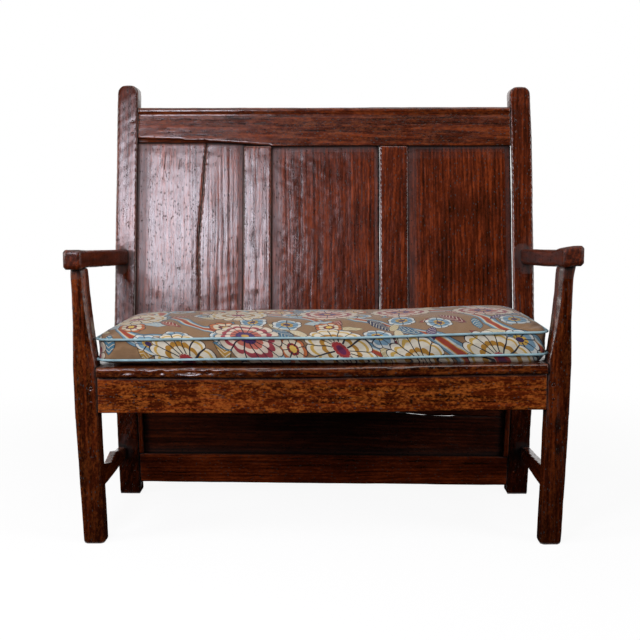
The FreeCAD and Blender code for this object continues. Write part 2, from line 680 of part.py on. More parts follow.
def front_seat_rail():
    """The rail between the front legs, with a worn lower edge."""
    origin = ("0", "0", SEAT_RAIL_UNDERSIDE)
    body = new_body("front_seat_rail", *origin)
    pad(body, outline(body, "rail_section", "YZ_Plane", (
        ("front_rail_setback", "0"), (SEAT_RAIL_BACK, "0"), (SEAT_RAIL_BACK, "seat_rail_height"),
        ("front_rail_setback", "seat_rail_height"))), SEAT_OPENING, symmetric=True)
    face = size("front_rail_setback")
    dress(body, "PartDesign::Fillet", "Radius", "rail_edge_round",
          lambda a, b: near(a.z, 0) and near(b.z, 0) and near(a.y, face) and near(b.y, face))
    for side in (-1, 1):
        block(body, "tenon", seen_from(front_rail_tenon(side), *origin))
        for start, length, way in front_pegs(side):
            bore(body, "peg_hole", seen_from((start,), *origin)[0], length, way)


def side_bar(side, label, centre, origin_z, points, tenons, pegs, width):
    """A rail or stretcher from a front leg to a back post, with a tenon at each end."""
    origin = (f"({side} * {centre})", "0", origin_z)
    body = new_body(label, *origin)
    pad(body, outline(body, "side_view", "YZ_Plane", points), width, symmetric=True)
    cut_to_back(body, width, ("seat_depth", f"(bend_height - {origin_z})"))
    for tenon in tenons:
        block(body, "tenon", seen_from(tenon, *origin))
    for start, length, way in pegs:
        bore(body, "peg_hole", seen_from((start,), *origin)[0], length, way)
    return body


def side_seat_rail(side, label):
    """A rail under the ends of the planks."""
    far = "(seat_depth + 2 * post_depth)"
    side_bar(side, label, SIDE_RAIL_X, SEAT_RAIL_UNDERSIDE, (
        ("leg_depth", "0"), (far, "0"), (far, "seat_rail_height"),
        ("leg_depth", "seat_rail_height")),
        side_rail_tenons(side), side_pegs(side)["seat"], "side_rail_thickness")


def side_stretcher(side, label, wear):
    """A low stretcher that falls to the back. The left one's top edge is worn into a dip."""
    far = "(seat_depth + 2 * post_depth)"
    run = "(seat_depth - leg_depth)"
    slope = f"(stretcher_fall / {run})"
    straight = ((far, f"(stretcher_height - ({far} - leg_depth) * {slope})"),
                ("leg_depth", "stretcher_height"))
    worn = straight[:1]
    for share, change in (("0.9", "0"), ("0.72", "0.6"), ("0.52", "0 - 0.7"), ("0.26", "0.3"),
                          ("0.1", "0")):
        worn += ((f"(leg_depth + {run} * {share})",
                  f"(stretcher_height - stretcher_fall * {share} + {wear} * ({change}))"),)
    worn += straight[1:]
    side_bar(side, label, STRETCHER_X, "stretcher_underside", (
        ("leg_depth", "0"), (far, "0")) + (worn if wear else straight),
        stretcher_tenons(side), side_pegs(side)["low"], "stretcher_thickness")


def seat_plank(label, front, back):
    """A plain plank, over the side rails from end to end."""
    body = new_body(label, z=PLANK_UNDERSIDE)
    block(body, "plank", ((f"(0 - {PLANK_HALF})", front, "0"),
                          (f"(2 * {PLANK_HALF})", f"({back} - {front})", "plank_thickness")))
    return body


def seat_planks():
    """Three planks. The front one is notched round the legs and has a moulded nosing."""
    body = new_body("front_seat_plank", z=PLANK_UNDERSIDE)
    behind_leg = "(leg_depth + joint_clearance)"
    nose = "(0 - nosing)"
    pad(body, outline(body, "nosing_section", "YZ_Plane", (
        (nose, "0"), (behind_leg, "0"), (behind_leg, "plank_thickness"),
        (nose, "plank_thickness"), (nose, "nosing_bead + nosing_quirk"),
        (f"{nose} + nosing_quirk", "nosing_bead + nosing_quirk / 2"), (nose, "nosing_bead"))),
        f"({SEAT_OPENING} - 2 * joint_clearance)", symmetric=True)
    front = -size("nosing")
    top = size("plank_thickness")
    dress(body, "PartDesign::Fillet", "Radius", "nosing_round",
          lambda a, b: near(a.y, front) and near(b.y, front) and near(a.z, top) and near(b.z, top))
    block(body, "plank_behind_legs", (
        (f"(0 - {PLANK_HALF})", behind_leg, "0"),
        (f"(2 * {PLANK_HALF})", f"({FRONT_JOINT} - plank_gap / 2 - {behind_leg})",
         "plank_thickness")))
    second = f"({FRONT_JOINT} + middle_plank_depth)"
    seat_plank("middle_seat_plank", f"({FRONT_JOINT} + plank_gap / 2)", f"({second} - plank_gap / 2)")
    seat_plank("back_seat_plank", f"({second} + plank_gap / 2)", PLANK_BACK)


def seat_supports():
    """The ledger on the back seat rail, and the bearer under the middle of the planks."""
    half = f"({POST_INNER} - joint_clearance)"
    top = PLANK_UNDERSIDE
    ledger = new_body("seat_ledger", z=f"({top} - ledger_height)")
    block(ledger, "ledger", ((f"(0 - {half})", LEDGER_FRONT, "0"),
                             (f"(2 * {half})", "(ledger_depth + post_depth)", "ledger_height")))
    cut_to_back(ledger, "frame_width", ("seat_depth", f"(bend_height - {top} + ledger_height)"),
                setback="frame_setback")
    bearer = new_body("middle_seat_bearer", z=f"({top} - bearer_height)")
    block(bearer, "bearer", (("(0 - bearer_width / 2)", SEAT_RAIL_BACK, "0"),
                             ("bearer_width", f"({LEDGER_FRONT} - {SEAT_RAIL_BACK})",
                              "bearer_height")))


def back_rails():
    """The top rail with its bead and worn lip, the bent back seat rail and the bottom rail."""
    opening = f"(2 * {POST_INNER})"
    face = "frame_setback"
    back = "(frame_setback + back_rail_thickness)"
    groove_from = "(panel_front - joint_clearance)"
    groove_width = "(panel_thickness + 2 * joint_clearance)"
    groove_start = f"(0 - {POST_INNER})"

    top = back_body("back_top_rail", RAKED)
    bead_face = "(frame_setback - bead_reach)"
    bead_start = f"({TOP_RAIL_EDGE} - top_bead)"
    pad(top, outline(top, "moulded_section", "YZ_Plane", (
        (face, UPPER_OPENING_TOP), (back, UPPER_OPENING_TOP), (back, TOP_RAIL_EDGE),
        (bead_face, TOP_RAIL_EDGE), (bead_face, bead_start),
        (face, f"({bead_start} - bead_reach / 2)"))), opening, symmetric=True)
    edge = value(named(bead_face))
    dress(top, "PartDesign::Fillet", "Radius", "bead_round",
          lambda a, b: near(a.y, edge) and near(b.y, edge) and near(a.z, b.z))
    block(top, "groove", ((groove_start, groove_from, UPPER_OPENING_TOP),
                          (opening, groove_width, "groove_depth")), cut=True)
    worn_to = "(0 - lip_wear_end)"
    pocket(top, outline(top, "worn_lip", "XZ_Plane", (
        (groove_start, f"({UPPER_OPENING_TOP} - lip_wear)"),
        (worn_to, f"({UPPER_OPENING_TOP} - lip_wear)"), (worn_to, UPPER_OPENING_TOP),
        (f"({worn_to} - lip_wear * 3)", f"({UPPER_OPENING_TOP} + lip_wear * 0.25)"),
        (f"(({worn_to} + {groove_start}) / 2)", f"({UPPER_OPENING_TOP} + lip_wear * 0.7)"),
        (groove_start, f"({UPPER_OPENING_TOP} + lip_wear)"))),
        groove_from)

    seat = back_body("back_seat_rail", None)
    up, down = "seat_back_rail_upper", "seat_back_rail_lower"
    section = []
    for depth in (face, back):
        upper = turned(("0", depth, up), RAKED)[1:]
        bend = turned(("0", depth, f"({depth} * tan((back_rake + foot_kick) / 2))"), RAKED)[1:]
        lower = turned(("0", depth, f"(0 - {down})"), KICKED)[1:]
        section += [upper, bend, lower] if depth == face else [lower, bend, upper]
    pad(seat, outline(seat, "bent_section", "YZ_Plane", section), opening, symmetric=True)
    block(seat, "upper_groove", ((groove_start, groove_from, f"({up} - groove_depth)"),
                                 (opening, groove_width, "groove_depth")), cut=True, lean=RAKED)
    block(seat, "lower_groove", ((groove_start, groove_from, f"(0 - {down})"),
                                 (opening, groove_width, "groove_depth")), cut=True, lean=KICKED)

    bottom = back_body("back_bottom_rail", KICKED)
    low_edge = "(0 - bottom_rail_edge)"
    top_edge = f"(0 - {LOWER_OPENING_END})"
    pad(bottom, outline(bottom, "rail_section", "YZ_Plane", (
        (face, low_edge), (back, low_edge), (back, top_edge), (face, top_edge))),
        opening, symmetric=True)
    block(bottom, "groove", ((groove_start, groove_from, f"({top_edge} - groove_depth)"),
                             (opening, groove_width, "groove_depth")), cut=True)

    for side in (-1, 1):
        pegs = back_pegs(side)
        for body, tenon, lean, ends in ((top, top_rail_tenon, None, pegs[:2]),
                                        (seat, seat_back_rail_tenon, RAKED, pegs[2:3]),
                                        (bottom, bottom_rail_tenon, None, pegs[3:])):
            block(body, "tenon", tenon(side), lean=lean)
            for start, peg_lean, length, way in ends:
                if lean:
                    bore(body, "peg_hole", turned(start, peg_lean), length, way)
                else:
                    bore(body, "peg_hole", start, length, TO_THE_BACK)


def muntin(label, place):
    """An upright between two boards: a wide face, rebated behind, with stub tenons."""
    body = back_body(label, RAKED, x=place)
    wide = "(muntin_width / 2)"
    narrow = "(muntin_width / 2 - rebate_depth)"
    step = "(panel_front - joint_clearance)"
    start, end = "seat_back_rail_upper", UPPER_OPENING_TOP
    pad(body, outline(body, "rebated_section", "XY_Plane", (
        (f"(0 - {wide})", "frame_setback"), (wide, "frame_setback"), (wide, step),
        (narrow, step), (narrow, PANEL_BACK), (f"(0 - {narrow})", PANEL_BACK),
        (f"(0 - {narrow})", step), (f"(0 - {wide})", step)), offset=start), f"({end} - {start})")
    stub = "(groove_depth - joint_clearance)"
    for low_end in (f"({start} - {stub})", end):
        block(body, "stub_tenon", ((f"(0 - {narrow})", "panel_front", low_end),
                                   (f"(2 * {narrow})", "panel_thickness", stub)))


def board(label, lean, left_edge, right_edge):
    """A back board between two edges, whose points run the same way: up, or left to right."""
    body = back_body(label, lean)
    points = tuple(right_edge) + tuple(reversed(left_edge))
    pad(body, outline(body, "board_face", "XZ_Plane", points, offset="0 - panel_front"),
        "panel_thickness", reverse=True)


def back_boards():
    """Boards that sit in the grooves and rebates. Age has split one and shrunk two."""
    hold = "(groove_depth - joint_clearance)"
    bottom = f"(seat_back_rail_upper - {hold})"
    top = f"({UPPER_OPENING_TOP} + {hold})"
    rebated = "(rebate_depth - joint_clearance)"
    half_muntin = "muntin_width / 2"
    edges = []
    for x in (f"(0 - {POST_INNER} - {rebated})",
              f"(left_muntin_place - {half_muntin} + {rebated})",
              f"(left_muntin_place + {half_muntin} - {rebated})",
              f"(right_muntin_place - {half_muntin} - shrinkage)",
              f"(right_muntin_place + {half_muntin} - {rebated})",
              f"({POST_INNER} - shrinkage)"):
        edges.append(((x, bottom), (x, top)))
    middle = f"(({bottom} + {top}) / 2)"
    split = (("split_bottom", bottom), ("split_middle", middle), ("split_top", top))
    beyond = tuple((f"({x} + split_gap)", z) for x, z in split)
    board("left_outer_board", RAKED, edges[0], split)
    board("left_inner_board", RAKED, beyond, edges[1])
    board("centre_board", RAKED, edges[2], edges[3])
    board("right_board", RAKED, edges[4], edges[5])


def lower_boards():
    """Two boards behind the seat's front rail, with a wandering split between them."""
    hold = "(groove_depth - joint_clearance)"
    half = f"({POST_INNER} + rebate_depth - joint_clearance)"
    lowest = f"(0 - {LOWER_OPENING_END} - {hold})"
    highest = f"(0 - seat_back_rail_lower + {hold})"
    closed = "joint_clearance"
    crack = ((f"(0 - {half})", "0", closed), ("crack_start", "0", closed),
             ("(crack_start + 5 * lower_split_gap)", "0", "lower_split_gap"),
             ("crack_turn", "0", "lower_split_gap"), ("crack_low", "crack_drop", "lower_split_gap"),
             ("crack_end", "crack_drop", "lower_split_gap"),
             ("(crack_end + 10 * lower_split_gap)", "crack_drop", closed),
             (half, "crack_drop", closed))
    upper_edge = tuple((x, f"(0 - lower_split - {drop} + {gap} / 2)") for x, drop, gap in crack)
    lower_edge = tuple((x, f"(0 - lower_split - {drop} - {gap} / 2)") for x, drop, gap in crack)
    for label, high_edge, low_edge in (
            ("lower_back_upper_board", ((f"(0 - {half})", highest), (half, highest)), upper_edge),
            ("lower_back_lower_board", lower_edge, ((f"(0 - {half})", lowest), (half, lowest)))):
        board(label, KICKED, high_edge, low_edge)


def edge_strip(side, label):
    """A narrow strip that stands between a back post and the lower back."""
    body = back_body(label, KICKED)
    inner = f"({POST_INNER} - edge_strip_width - joint_clearance)"
    corner = inner if side > 0 else f"(0 - {inner} - edge_strip_width)"
    block(body, "strip", ((corner, "frame_setback", f"(0 - {LOWER_OPENING_END})"),
                          ("edge_strip_width", "(panel_front - frame_setback - joint_clearance)",
                           f"({LOWER_OPENING_END} - seat_back_rail_lower)")))


def pegs():
    """All the pegs, in four groups."""
    seat, low_ones, back, arms = [], [], [], []
    for side in (-1, 1):
        seat += [peg(*spot) for spot in front_pegs(side)]
        seat += [peg(*spot) for spot in side_pegs(side)["seat"]]
        low_ones += [peg(*spot) for spot in side_pegs(side)["low"]]
        arms += [peg(*spot) for spot in side_pegs(side)["arm"]]
        for start, lean, length, way in back_pegs(side):
            spot = turned(start, lean, ("seat_depth", "bend_height"))
            back.append(peg(spot, length, way))
    for label, bars in (("seat_rail_pegs", seat), ("stretcher_pegs", low_ones),
                        ("back_frame_pegs", back), ("arm_pegs", arms)):
        group(label, bars)


def soft_piece(label, shape):
    """A soft form. Its shape counts y from the legs' faces and z from the top of the planks."""
    feature = doc.addObject("Part::Feature", label)
    feature.Label = label
    feature.Shape = shape
    feature.Placement = FreeCAD.Placement(
        FreeCAD.Vector(0, -value(named(MIDDLE_Y)), size("seat_height")), FreeCAD.Rotation())


def plan_wire(inset, corner, height):
    """The cushion's plan at a height, drawn in by an inset: four sides and four round corners."""
    seam = 2 * size("piping_radius") + size("rest_clearance") + inset
    half = value(named(LEG_INNER)) - size("cushion_side_gap") - seam
    front = size("cushion_setback") - size("nosing") + seam
    back = value(named(post_face("seat_height"))) - size("cushion_back_gap") - seam
    spots = [FreeCAD.Vector(x, y, height) for x, y in (
        (-half, front), (half, front), (half, back), (-half, back))]
    edges = []
    for index, spot in enumerate(spots):
        before = (spots[index - 1] - spot).normalize()
        after = (spots[(index + 1) % 4] - spot).normalize()
        middle = spot + (before + after) * corner * (1 - 2 ** -0.5)
        edges.append(Part.Arc(spot + before * corner, middle, spot + after * corner).toShape())
        following = spots[(index + 1) % 4]
        edges.append(Part.LineSegment(spot + after * corner, following - after * corner).toShape())
    return Part.Wire(edges)


def facet_ring(radius, centre, along):
    """An eight-sided ring square to a direction that runs level."""
    level = along.cross(FreeCAD.Vector(0, 0, 1)).normalize()
    spots = []
    for step in range(SIDES):
        turn = FreeCAD.Rotation(along, 360 * step / SIDES)
        spots.append(centre + turn * (level * radius))
    return Part.makePolygon(spots + spots[:1])


def cushion():
    """A box cushion: a tucked resting face, a drawn-in band and a crown, with two pipings."""
    corner = size("cushion_corner")
    rest = size("rest_clearance")
    lower = size("cushion_belly")
    upper = lower + size("cushion_band")
    tuck = size("cushion_tuck")
    low_seam = plan_wire(0, corner, lower)
    high_seam = plan_wire(0, corner, upper)
    rings = [plan_wire(tuck, corner, rest), plan_wire(tuck / 4, corner, (rest + lower) / 2),
             low_seam, plan_wire(size("band_draw"), corner, (lower + upper) / 2), high_seam]
    for turn in ("18", "36", "54", "72", "90"):
        rings.append(plan_wire(value(named(f"crown_reach * (1 - cos({turn}))")), corner,
                               upper + value(named(f"cushion_crown * sin({turn})"))))
    soft_piece("cushion_pad", Part.makeLoft(rings, True, True))

    radius = size("piping_radius")
    reach = radius + rest
    pipings = []
    for height in (lower, upper):
        path = plan_wire(-reach, corner + reach, height)
        first = path.Edges[0]
        along = first.tangentAt(first.FirstParameter)
        ring = facet_ring(radius, first.valueAt(first.FirstParameter), along)
        pipings.append(path.makePipeShell([ring], True, True))
    soft_piece("cushion_piping", Part.makeCompound(pipings))


for side, word in ((-1, "left"), (1, "right")):
    back_post(side, f"{word}_back_post")
    front_leg(side, f"{word}_front_leg")
    arm(side, f"{word}_arm")
    side_seat_rail(side, f"{word}_seat_rail")
    edge_strip(side, f"{word}_edge_strip")
side_stretcher(-1, "left_stretcher", "stretcher_wear")
side_stretcher(1, "right_stretcher", None)
front_seat_rail()
seat_planks()
seat_supports()
back_rails()
muntin("left_muntin", "left_muntin_place")
muntin("right_muntin", "right_muntin_place")
back_boards()
lower_boards()
pegs()
cushion()
doc.recompute()

nodes = [thing for thing in doc.Objects if thing.TypeId in
         ("PartDesign::Body", "Part::Compound", "Part::Feature")]
for thing in doc.Objects:
    if "Invalid" in thing.State or "Error" in thing.State:
        raise RuntimeError(f"{thing.Label} failed: {thing.State}")
for thing in nodes:
    if thing.Shape.isNull() or not thing.Shape.isValid():
        raise RuntimeError(f"{thing.Label} has no valid shape")
    if thing.TypeId == "PartDesign::Body" and len(thing.Shape.Solids) != 1:
        raise RuntimeError(f"{thing.Label} is not one solid")
os.makedirs("parts", exist_ok=True)
for thing in nodes:
    thing.Shape.exportStep(f"parts/{thing.Label}.step")
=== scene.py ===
"""Looks for the settle bench: worn waxed oak, a printed linen cushion and a plain studio."""
import math

import bmesh
import bpy
import numpy as np
from mathutils import Matrix, Vector
from mathutils.bvhtree import BVHTree


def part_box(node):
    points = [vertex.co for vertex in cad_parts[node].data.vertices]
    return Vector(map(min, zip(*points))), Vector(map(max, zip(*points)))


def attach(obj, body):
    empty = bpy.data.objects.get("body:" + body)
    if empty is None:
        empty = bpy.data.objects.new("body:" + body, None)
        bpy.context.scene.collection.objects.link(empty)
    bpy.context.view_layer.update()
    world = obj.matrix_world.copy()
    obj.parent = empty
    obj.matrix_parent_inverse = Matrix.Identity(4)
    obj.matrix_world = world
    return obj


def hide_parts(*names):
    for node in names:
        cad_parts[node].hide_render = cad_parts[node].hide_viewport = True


bl_info = {
    "name": "Settle bench",
    "version": (1, 0, 0),
    "blender": (4, 5, 0),
    "location": "3D View > Sidebar > Settle bench",
    "description": "Dresses the packed settle bench in worn waxed oak and printed linen",
    "category": "Object",
}

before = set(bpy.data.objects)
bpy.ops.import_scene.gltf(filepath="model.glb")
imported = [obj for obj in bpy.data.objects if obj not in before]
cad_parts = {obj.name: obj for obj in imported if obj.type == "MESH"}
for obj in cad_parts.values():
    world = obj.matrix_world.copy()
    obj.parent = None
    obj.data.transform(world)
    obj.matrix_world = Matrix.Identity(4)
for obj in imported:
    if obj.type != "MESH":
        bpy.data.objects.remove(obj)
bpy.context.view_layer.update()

# The lean of the back and the kick of the back feet, as the solids have them, in radians.
BACK_RAKE = math.radians(11.1)
FOOT_KICK = math.radians(6.6)

# Dirt and painted shade gather where wood stands nearer than this, in metres; each point looks along
# so many lines.
SHELTER_REACH = 0.04
SHELTER_LINES = 16
# Frames for which the filling pushes on the cloth.
CLOTH_FRAMES = 20
# The piping's corners are drawn every so many degrees.
CORNER_STEP = 15


# Settings


class OakSettings(bpy.types.PropertyGroup):
    """Colours and wear of the wood."""
    dark: bpy.props.StringProperty(
        name="Dark oak", description="Latewood, grime and old wax", default="#1E0800")
    middle: bpy.props.StringProperty(
        name="Oak", description="The body of the wood", default="#481804")
    light: bpy.props.StringProperty(
        name="Light oak", description="Rubbed earlywood", default="#7A3210")
    rubbed: bpy.props.StringProperty(
        name="Rubbed edges", description="Edges worn through the polish", default="#96521F")
    softness: bpy.props.IntProperty(
        name="Edge softness", description="How far the edges are worn round", default=2, min=0)
    waviness: bpy.props.FloatProperty(
        name="Waviness", description="Height of the slow waves left by hand planing",
        default=0.0006, unit="LENGTH")


class CushionSettings(bpy.types.PropertyGroup):
    """Filling and cloth of the cushion."""
    voxel: bpy.props.FloatProperty(
        name="Cloth mesh", description="Spacing of the simulated cloth", default=0.007,
        unit="LENGTH")
    pressure: bpy.props.FloatProperty(
        name="Filling", description="Pressure of the filling on the cloth", default=4.0)
    swell: bpy.props.FloatProperty(
        name="Swell", description="The most that the cloth may move", default=0.009,
        unit="LENGTH")
    right_lift: bpy.props.FloatProperty(
        name="Right end", description="How much fuller the right end stands", default=0.013,
        unit="LENGTH")
    piping: bpy.props.FloatProperty(
        name="Piping", description="Radius of the piping", default=0.0031, unit="LENGTH")
    ground: bpy.props.StringProperty(
        name="Ground", description="Undyed part of the linen", default="#987653")
    piping_colour: bpy.props.StringProperty(
        name="Piping colour", description="Piping", default="#8FAFB6")


class StageSettings(bpy.types.PropertyGroup):
    """Camera and light."""
    camera: bpy.props.FloatVectorProperty(
        name="Camera", description="Place of the camera", default=(0.027, -2.8551, 0.872),
        subtype="XYZ", unit="LENGTH")
    lens: bpy.props.FloatProperty(
        name="Lens", description="Focal length on a 36 mm sensor", default=59.34)
    pitch: bpy.props.FloatProperty(
        name="Pitch", description="Tilt of the camera below level", default=math.radians(6.76),
        subtype="ANGLE")
    yaw: bpy.props.FloatProperty(
        name="Yaw", description="Turn of the camera to the left", default=math.radians(0.68),
        subtype="ANGLE")
    roll: bpy.props.FloatProperty(
        name="Roll", description="Roll of the camera", default=math.radians(0.1),
        subtype="ANGLE")
    window_power: bpy.props.FloatProperty(
        name="Window light", description="Power of the tall soft light at the left",
        default=36.0, unit="POWER")
    side_power: bpy.props.FloatProperty(
        name="Side lights", description="Power of the broad lights far out at both sides",
        default=52.0, unit="POWER")
    fill_power: bpy.props.FloatProperty(
        name="Top light", description="Power of the broad light above",
        default=27.0, unit="POWER")


# Materials


def linear(code):
    """A colour written as sRGB hex, as linear red, green, blue and alpha."""
    parts = [int(code[i:i + 2], 16) / 255 for i in (1, 3, 5)]
    return [p / 12.92 if p <= 0.04045 else ((p + 0.055) / 1.055) ** 2.4 for p in parts] + [1.0]


def add(tree, kind, links=None, stops=(), hard=False, **settings):
    """Add a node. links feed its inputs; settings are its properties, or inputs as in_NAME.
    stops are a colour ramp's places, each with an sRGB hex or a grey; hard leaves them unblended."""
    made = tree.nodes.new("ShaderNode" + kind)
    for name, value in settings.items():
        if name.startswith("in_"):
            key = name[3:]
            made.inputs[int(key) if key.isdigit() else key.replace("_", " ")].default_value = value
        else:
            setattr(made, name, value)
    for name, source in (links or {}).items():
        tree.links.new(source, made.inputs[name])
    for index, (place, colour) in enumerate(stops):
        band = made.color_ramp
        stop = band.elements[index] if index < 2 else band.elements.new(place)
        stop.position = place
        stop.color = linear(colour) if isinstance(colour, str) else (colour, colour, colour, 1)
    if hard:
        made.color_ramp.interpolation = "CONSTANT"
    return made


def new_material(name):
    """An empty material: its tree, its output and its main shader."""
    made = bpy.data.materials.new(name)
    made.use_nodes = True
    tree = made.node_tree
    tree.nodes.clear()
    out = add(tree, "OutputMaterial")
    shader = add(tree, "BsdfPrincipled")
    tree.links.new(shader.outputs[0], out.inputs["Surface"])
    return made, tree, shader


GRAIN_TURNS = {
    "raked": (BACK_RAKE, 0, 0),
    "kicked": (-FOOT_KICK, 0, 0),
    "upright": (0, 0, 0),
    "along": (0, -math.pi / 2, 0),
    "deep": (math.pi / 2, 0, 0),
}


def waxed_oak(name, grain, seed, shade=1.0, foot=1.0, ridges=0.2, golden=0.0, dull=0.0,
              specks=0.5, rub=0.15, knots=(), stains=()):
    """Old oak under many coats of dark wax: streaked red-brown, satin, with drying checks, worm holes,
    planing ridges that break up the sheen, dirt and painted shade in the corners and rubbed edges."""
    oak = bpy.context.scene.settle_oak
    made, tree, shader = new_material(name)
    place = add(tree, "TexCoord").outputs["Object"]
    turned = add(tree, "Mapping", {"Vector": place}, in_Rotation=GRAIN_TURNS[grain])
    shifted = add(tree, "VectorMath", {0: turned.outputs[0]}, operation="ADD",
                  in_1=(seed * 1.37, seed * 0.71, seed * 2.13))
    p = shifted.outputs[0]

    # slow wander of the grain: up to 11 mm to each side, over some 200 mm to 500 mm
    wander = add(tree, "VectorMath", {0: p}, operation="MULTIPLY", in_1=(5, 5, 2))
    wander = add(tree, "TexNoise", {"Vector": wander.outputs[0]}, in_Scale=1.0, in_Detail=2.0)
    wander = add(tree, "VectorMath", {0: wander.outputs["Color"]}, operation="MULTIPLY_ADD",
                 in_1=(0.022, 0.022, 0), in_2=(-0.011, -0.011, 0))
    q = add(tree, "VectorMath", {0: p, 1: wander.outputs[0]}, operation="ADD").outputs[0]

    # streaks 11 mm wide, fine streaks 3 mm wide (drawn coarse enough to show)
    streak = add(tree, "VectorMath", {0: q}, operation="MULTIPLY", in_1=(90, 90, 2.4))
    streak = add(tree, "TexNoise", {"Vector": streak.outputs[0]}, in_Scale=1.0, in_Detail=5.0,
                 in_Roughness=0.62)
    fine = add(tree, "VectorMath", {0: q}, operation="MULTIPLY", in_1=(300, 300, 9))
    fine = add(tree, "TexNoise", {"Vector": fine.outputs[0]}, in_Scale=1.0, in_Detail=3.0,
               in_Roughness=0.7)
    # growth rings round a pith that stands off the board, which give a flame figure
    ring = add(tree, "Mapping", {"Vector": q}, in_Location=(0.05 * (seed % 3 - 1), 0.11, 0),
               in_Rotation=(0.035, 0.02 * (seed % 5 - 2), 0))
    ring = add(tree, "TexWave", {"Vector": ring.outputs[0]}, wave_type="RINGS",
               rings_direction="Z", in_Scale=30.0, in_Distortion=3.0, in_Detail=2.0,
               in_Detail_Scale=1.4)
    # patches 120 mm across: uneven wax; mottling 14 mm by 40 mm; crumbs 5 mm by 9 mm
    patch = add(tree, "TexNoise", {"Vector": p}, in_Scale=8.0, in_Detail=3.0)
    mottle = add(tree, "VectorMath", {0: p}, operation="MULTIPLY", in_1=(70, 70, 24))
    mottle = add(tree, "TexNoise", {"Vector": mottle.outputs[0]}, in_Scale=1.0, in_Detail=5.0,
                 in_Roughness=0.65)
    crumb = add(tree, "VectorMath", {0: p}, operation="MULTIPLY", in_1=(210, 210, 110))
    crumb = add(tree, "TexNoise", {"Vector": crumb.outputs[0]}, in_Scale=1.0, in_Detail=2.0,
                in_Roughness=0.7)

    figure = add(tree, "Math", {0: streak.outputs["Fac"]}, operation="MULTIPLY", in_1=0.75)
    for source, share in ((ring, 0.10), (fine, 0.45), (mottle, 0.30), (crumb, 0.30),
                          (patch, 0.35)):
        figure = add(tree, "Math", {0: source.outputs["Fac"], 2: figure.outputs[0]},
                     operation="MULTIPLY_ADD", in_1=share)
    figure = add(tree, "Math", {0: figure.outputs[0]}, operation="SUBTRACT", in_1=0.625)
    colour = add(tree, "ValToRGB", {"Fac": figure.outputs[0]}, stops=(
        (0.28, oak.dark), (0.50, oak.middle), (0.74, oak.light)))
    gilt = add(tree, "Math", {0: crumb.outputs["Fac"], 2: mottle.outputs["Fac"]},
               operation="MULTIPLY_ADD", in_1=0.9)
    gilt = add(tree, "MapRange", {"Value": gilt.outputs[0]}, in_1=0.90, in_2=1.18, in_3=0.0,
               in_4=golden)
    colour = add(tree, "Mix", {"Factor": gilt.outputs[0], 6: colour.outputs["Color"]},
                 data_type="RGBA", in_7=linear("#A4591F"))

    # knots: dark hearts, at given places of the piece
    for x, y, z, size in knots:
        away = add(tree, "VectorMath", {0: place}, operation="SUBTRACT", in_1=(x, y, z))
        away = add(tree, "VectorMath", {0: away.outputs[0]}, operation="MULTIPLY",
                   in_1=(1 / size, 0.2 / size, 0.62 / size))
        wobble = add(tree, "VectorMath", {0: mottle.outputs["Color"], 1: away.outputs[0]},
                     operation="ADD")
        reach = add(tree, "VectorMath", {0: wobble.outputs[0]}, operation="DISTANCE",
                    in_1=(0.5, 0.5, 0.5))
        heart = add(tree, "ValToRGB", {"Fac": reach.outputs["Value"]}, stops=(
            (0.35, 0.10), (0.9, 1.0)))
        colour = add(tree, "Mix", {6: colour.outputs[2], 7: heart.outputs["Color"]},
                     data_type="RGBA", blend_type="MULTIPLY", in_Factor=1.0)
    # stains: soft black patches, at given places, with their own reach each way
    for x, z, wide, high in stains:
        away = add(tree, "VectorMath", {0: place}, operation="SUBTRACT", in_1=(x, 0, z))
        away = add(tree, "VectorMath", {0: away.outputs[0]}, operation="MULTIPLY",
                   in_1=(1 / wide, 0, 1 / high))
        reach = add(tree, "VectorMath", {0: away.outputs[0]}, operation="LENGTH")
        ragged = add(tree, "Math", {0: mottle.outputs["Fac"], 2: reach.outputs["Value"]},
                     operation="MULTIPLY_ADD", in_1=1.4)
        blot = add(tree, "MapRange", {"Value": ragged.outputs[0]}, in_1=1.15, in_2=1.75,
                   in_3=0.85, in_4=0.0)
        colour = add(tree, "Mix", {"Factor": blot.outputs[0], 6: colour.outputs[2]},
                     data_type="RGBA", in_7=linear("#170C08"))

    # specks: worm holes 3 mm by 5.5 mm, drawn large enough to show, in some of the cells
    cells = add(tree, "VectorMath", {0: p}, operation="MULTIPLY", in_1=(150, 150, 80))
    cells = add(tree, "TexVoronoi", {"Vector": cells.outputs[0]}, in_Scale=1.0)
    some = add(tree, "SeparateColor", {"Color": cells.outputs["Color"]})
    some = add(tree, "Math", {0: some.outputs[0]}, operation="LESS_THAN", in_1=specks)
    hole = add(tree, "Math", {0: cells.outputs["Distance"]}, operation="LESS_THAN", in_1=0.22)
    hole = add(tree, "Math", {0: hole.outputs[0], 1: some.outputs[0]}, operation="MULTIPLY")
    # drying checks: hairlines along the grain
    check = add(tree, "VectorMath", {0: q}, operation="MULTIPLY", in_1=(75, 75, 1.6))
    check = add(tree, "TexNoise", {"Vector": check.outputs[0]}, in_Scale=1.0, in_Detail=1.0)
    check = add(tree, "Math", {0: check.outputs["Fac"]}, operation="COMPARE", in_1=0.5,
                in_2=0.007)
    strong = add(tree, "Math", {0: patch.outputs["Fac"]}, operation="GREATER_THAN", in_1=0.60)
    check = add(tree, "Math", {0: check.outputs[0], 1: strong.outputs[0]}, operation="MULTIPLY")
    sunk = add(tree, "Math", {0: check.outputs[0], 1: hole.outputs[0]}, operation="MAXIMUM")
    shown = add(tree, "Math", {0: sunk.outputs[0]}, operation="MULTIPLY", in_1=0.72)
    colour = add(tree, "Mix", {"Factor": shown.outputs[0], 6: colour.outputs[2]},
                 data_type="RGBA", in_7=linear("#0C0502"))

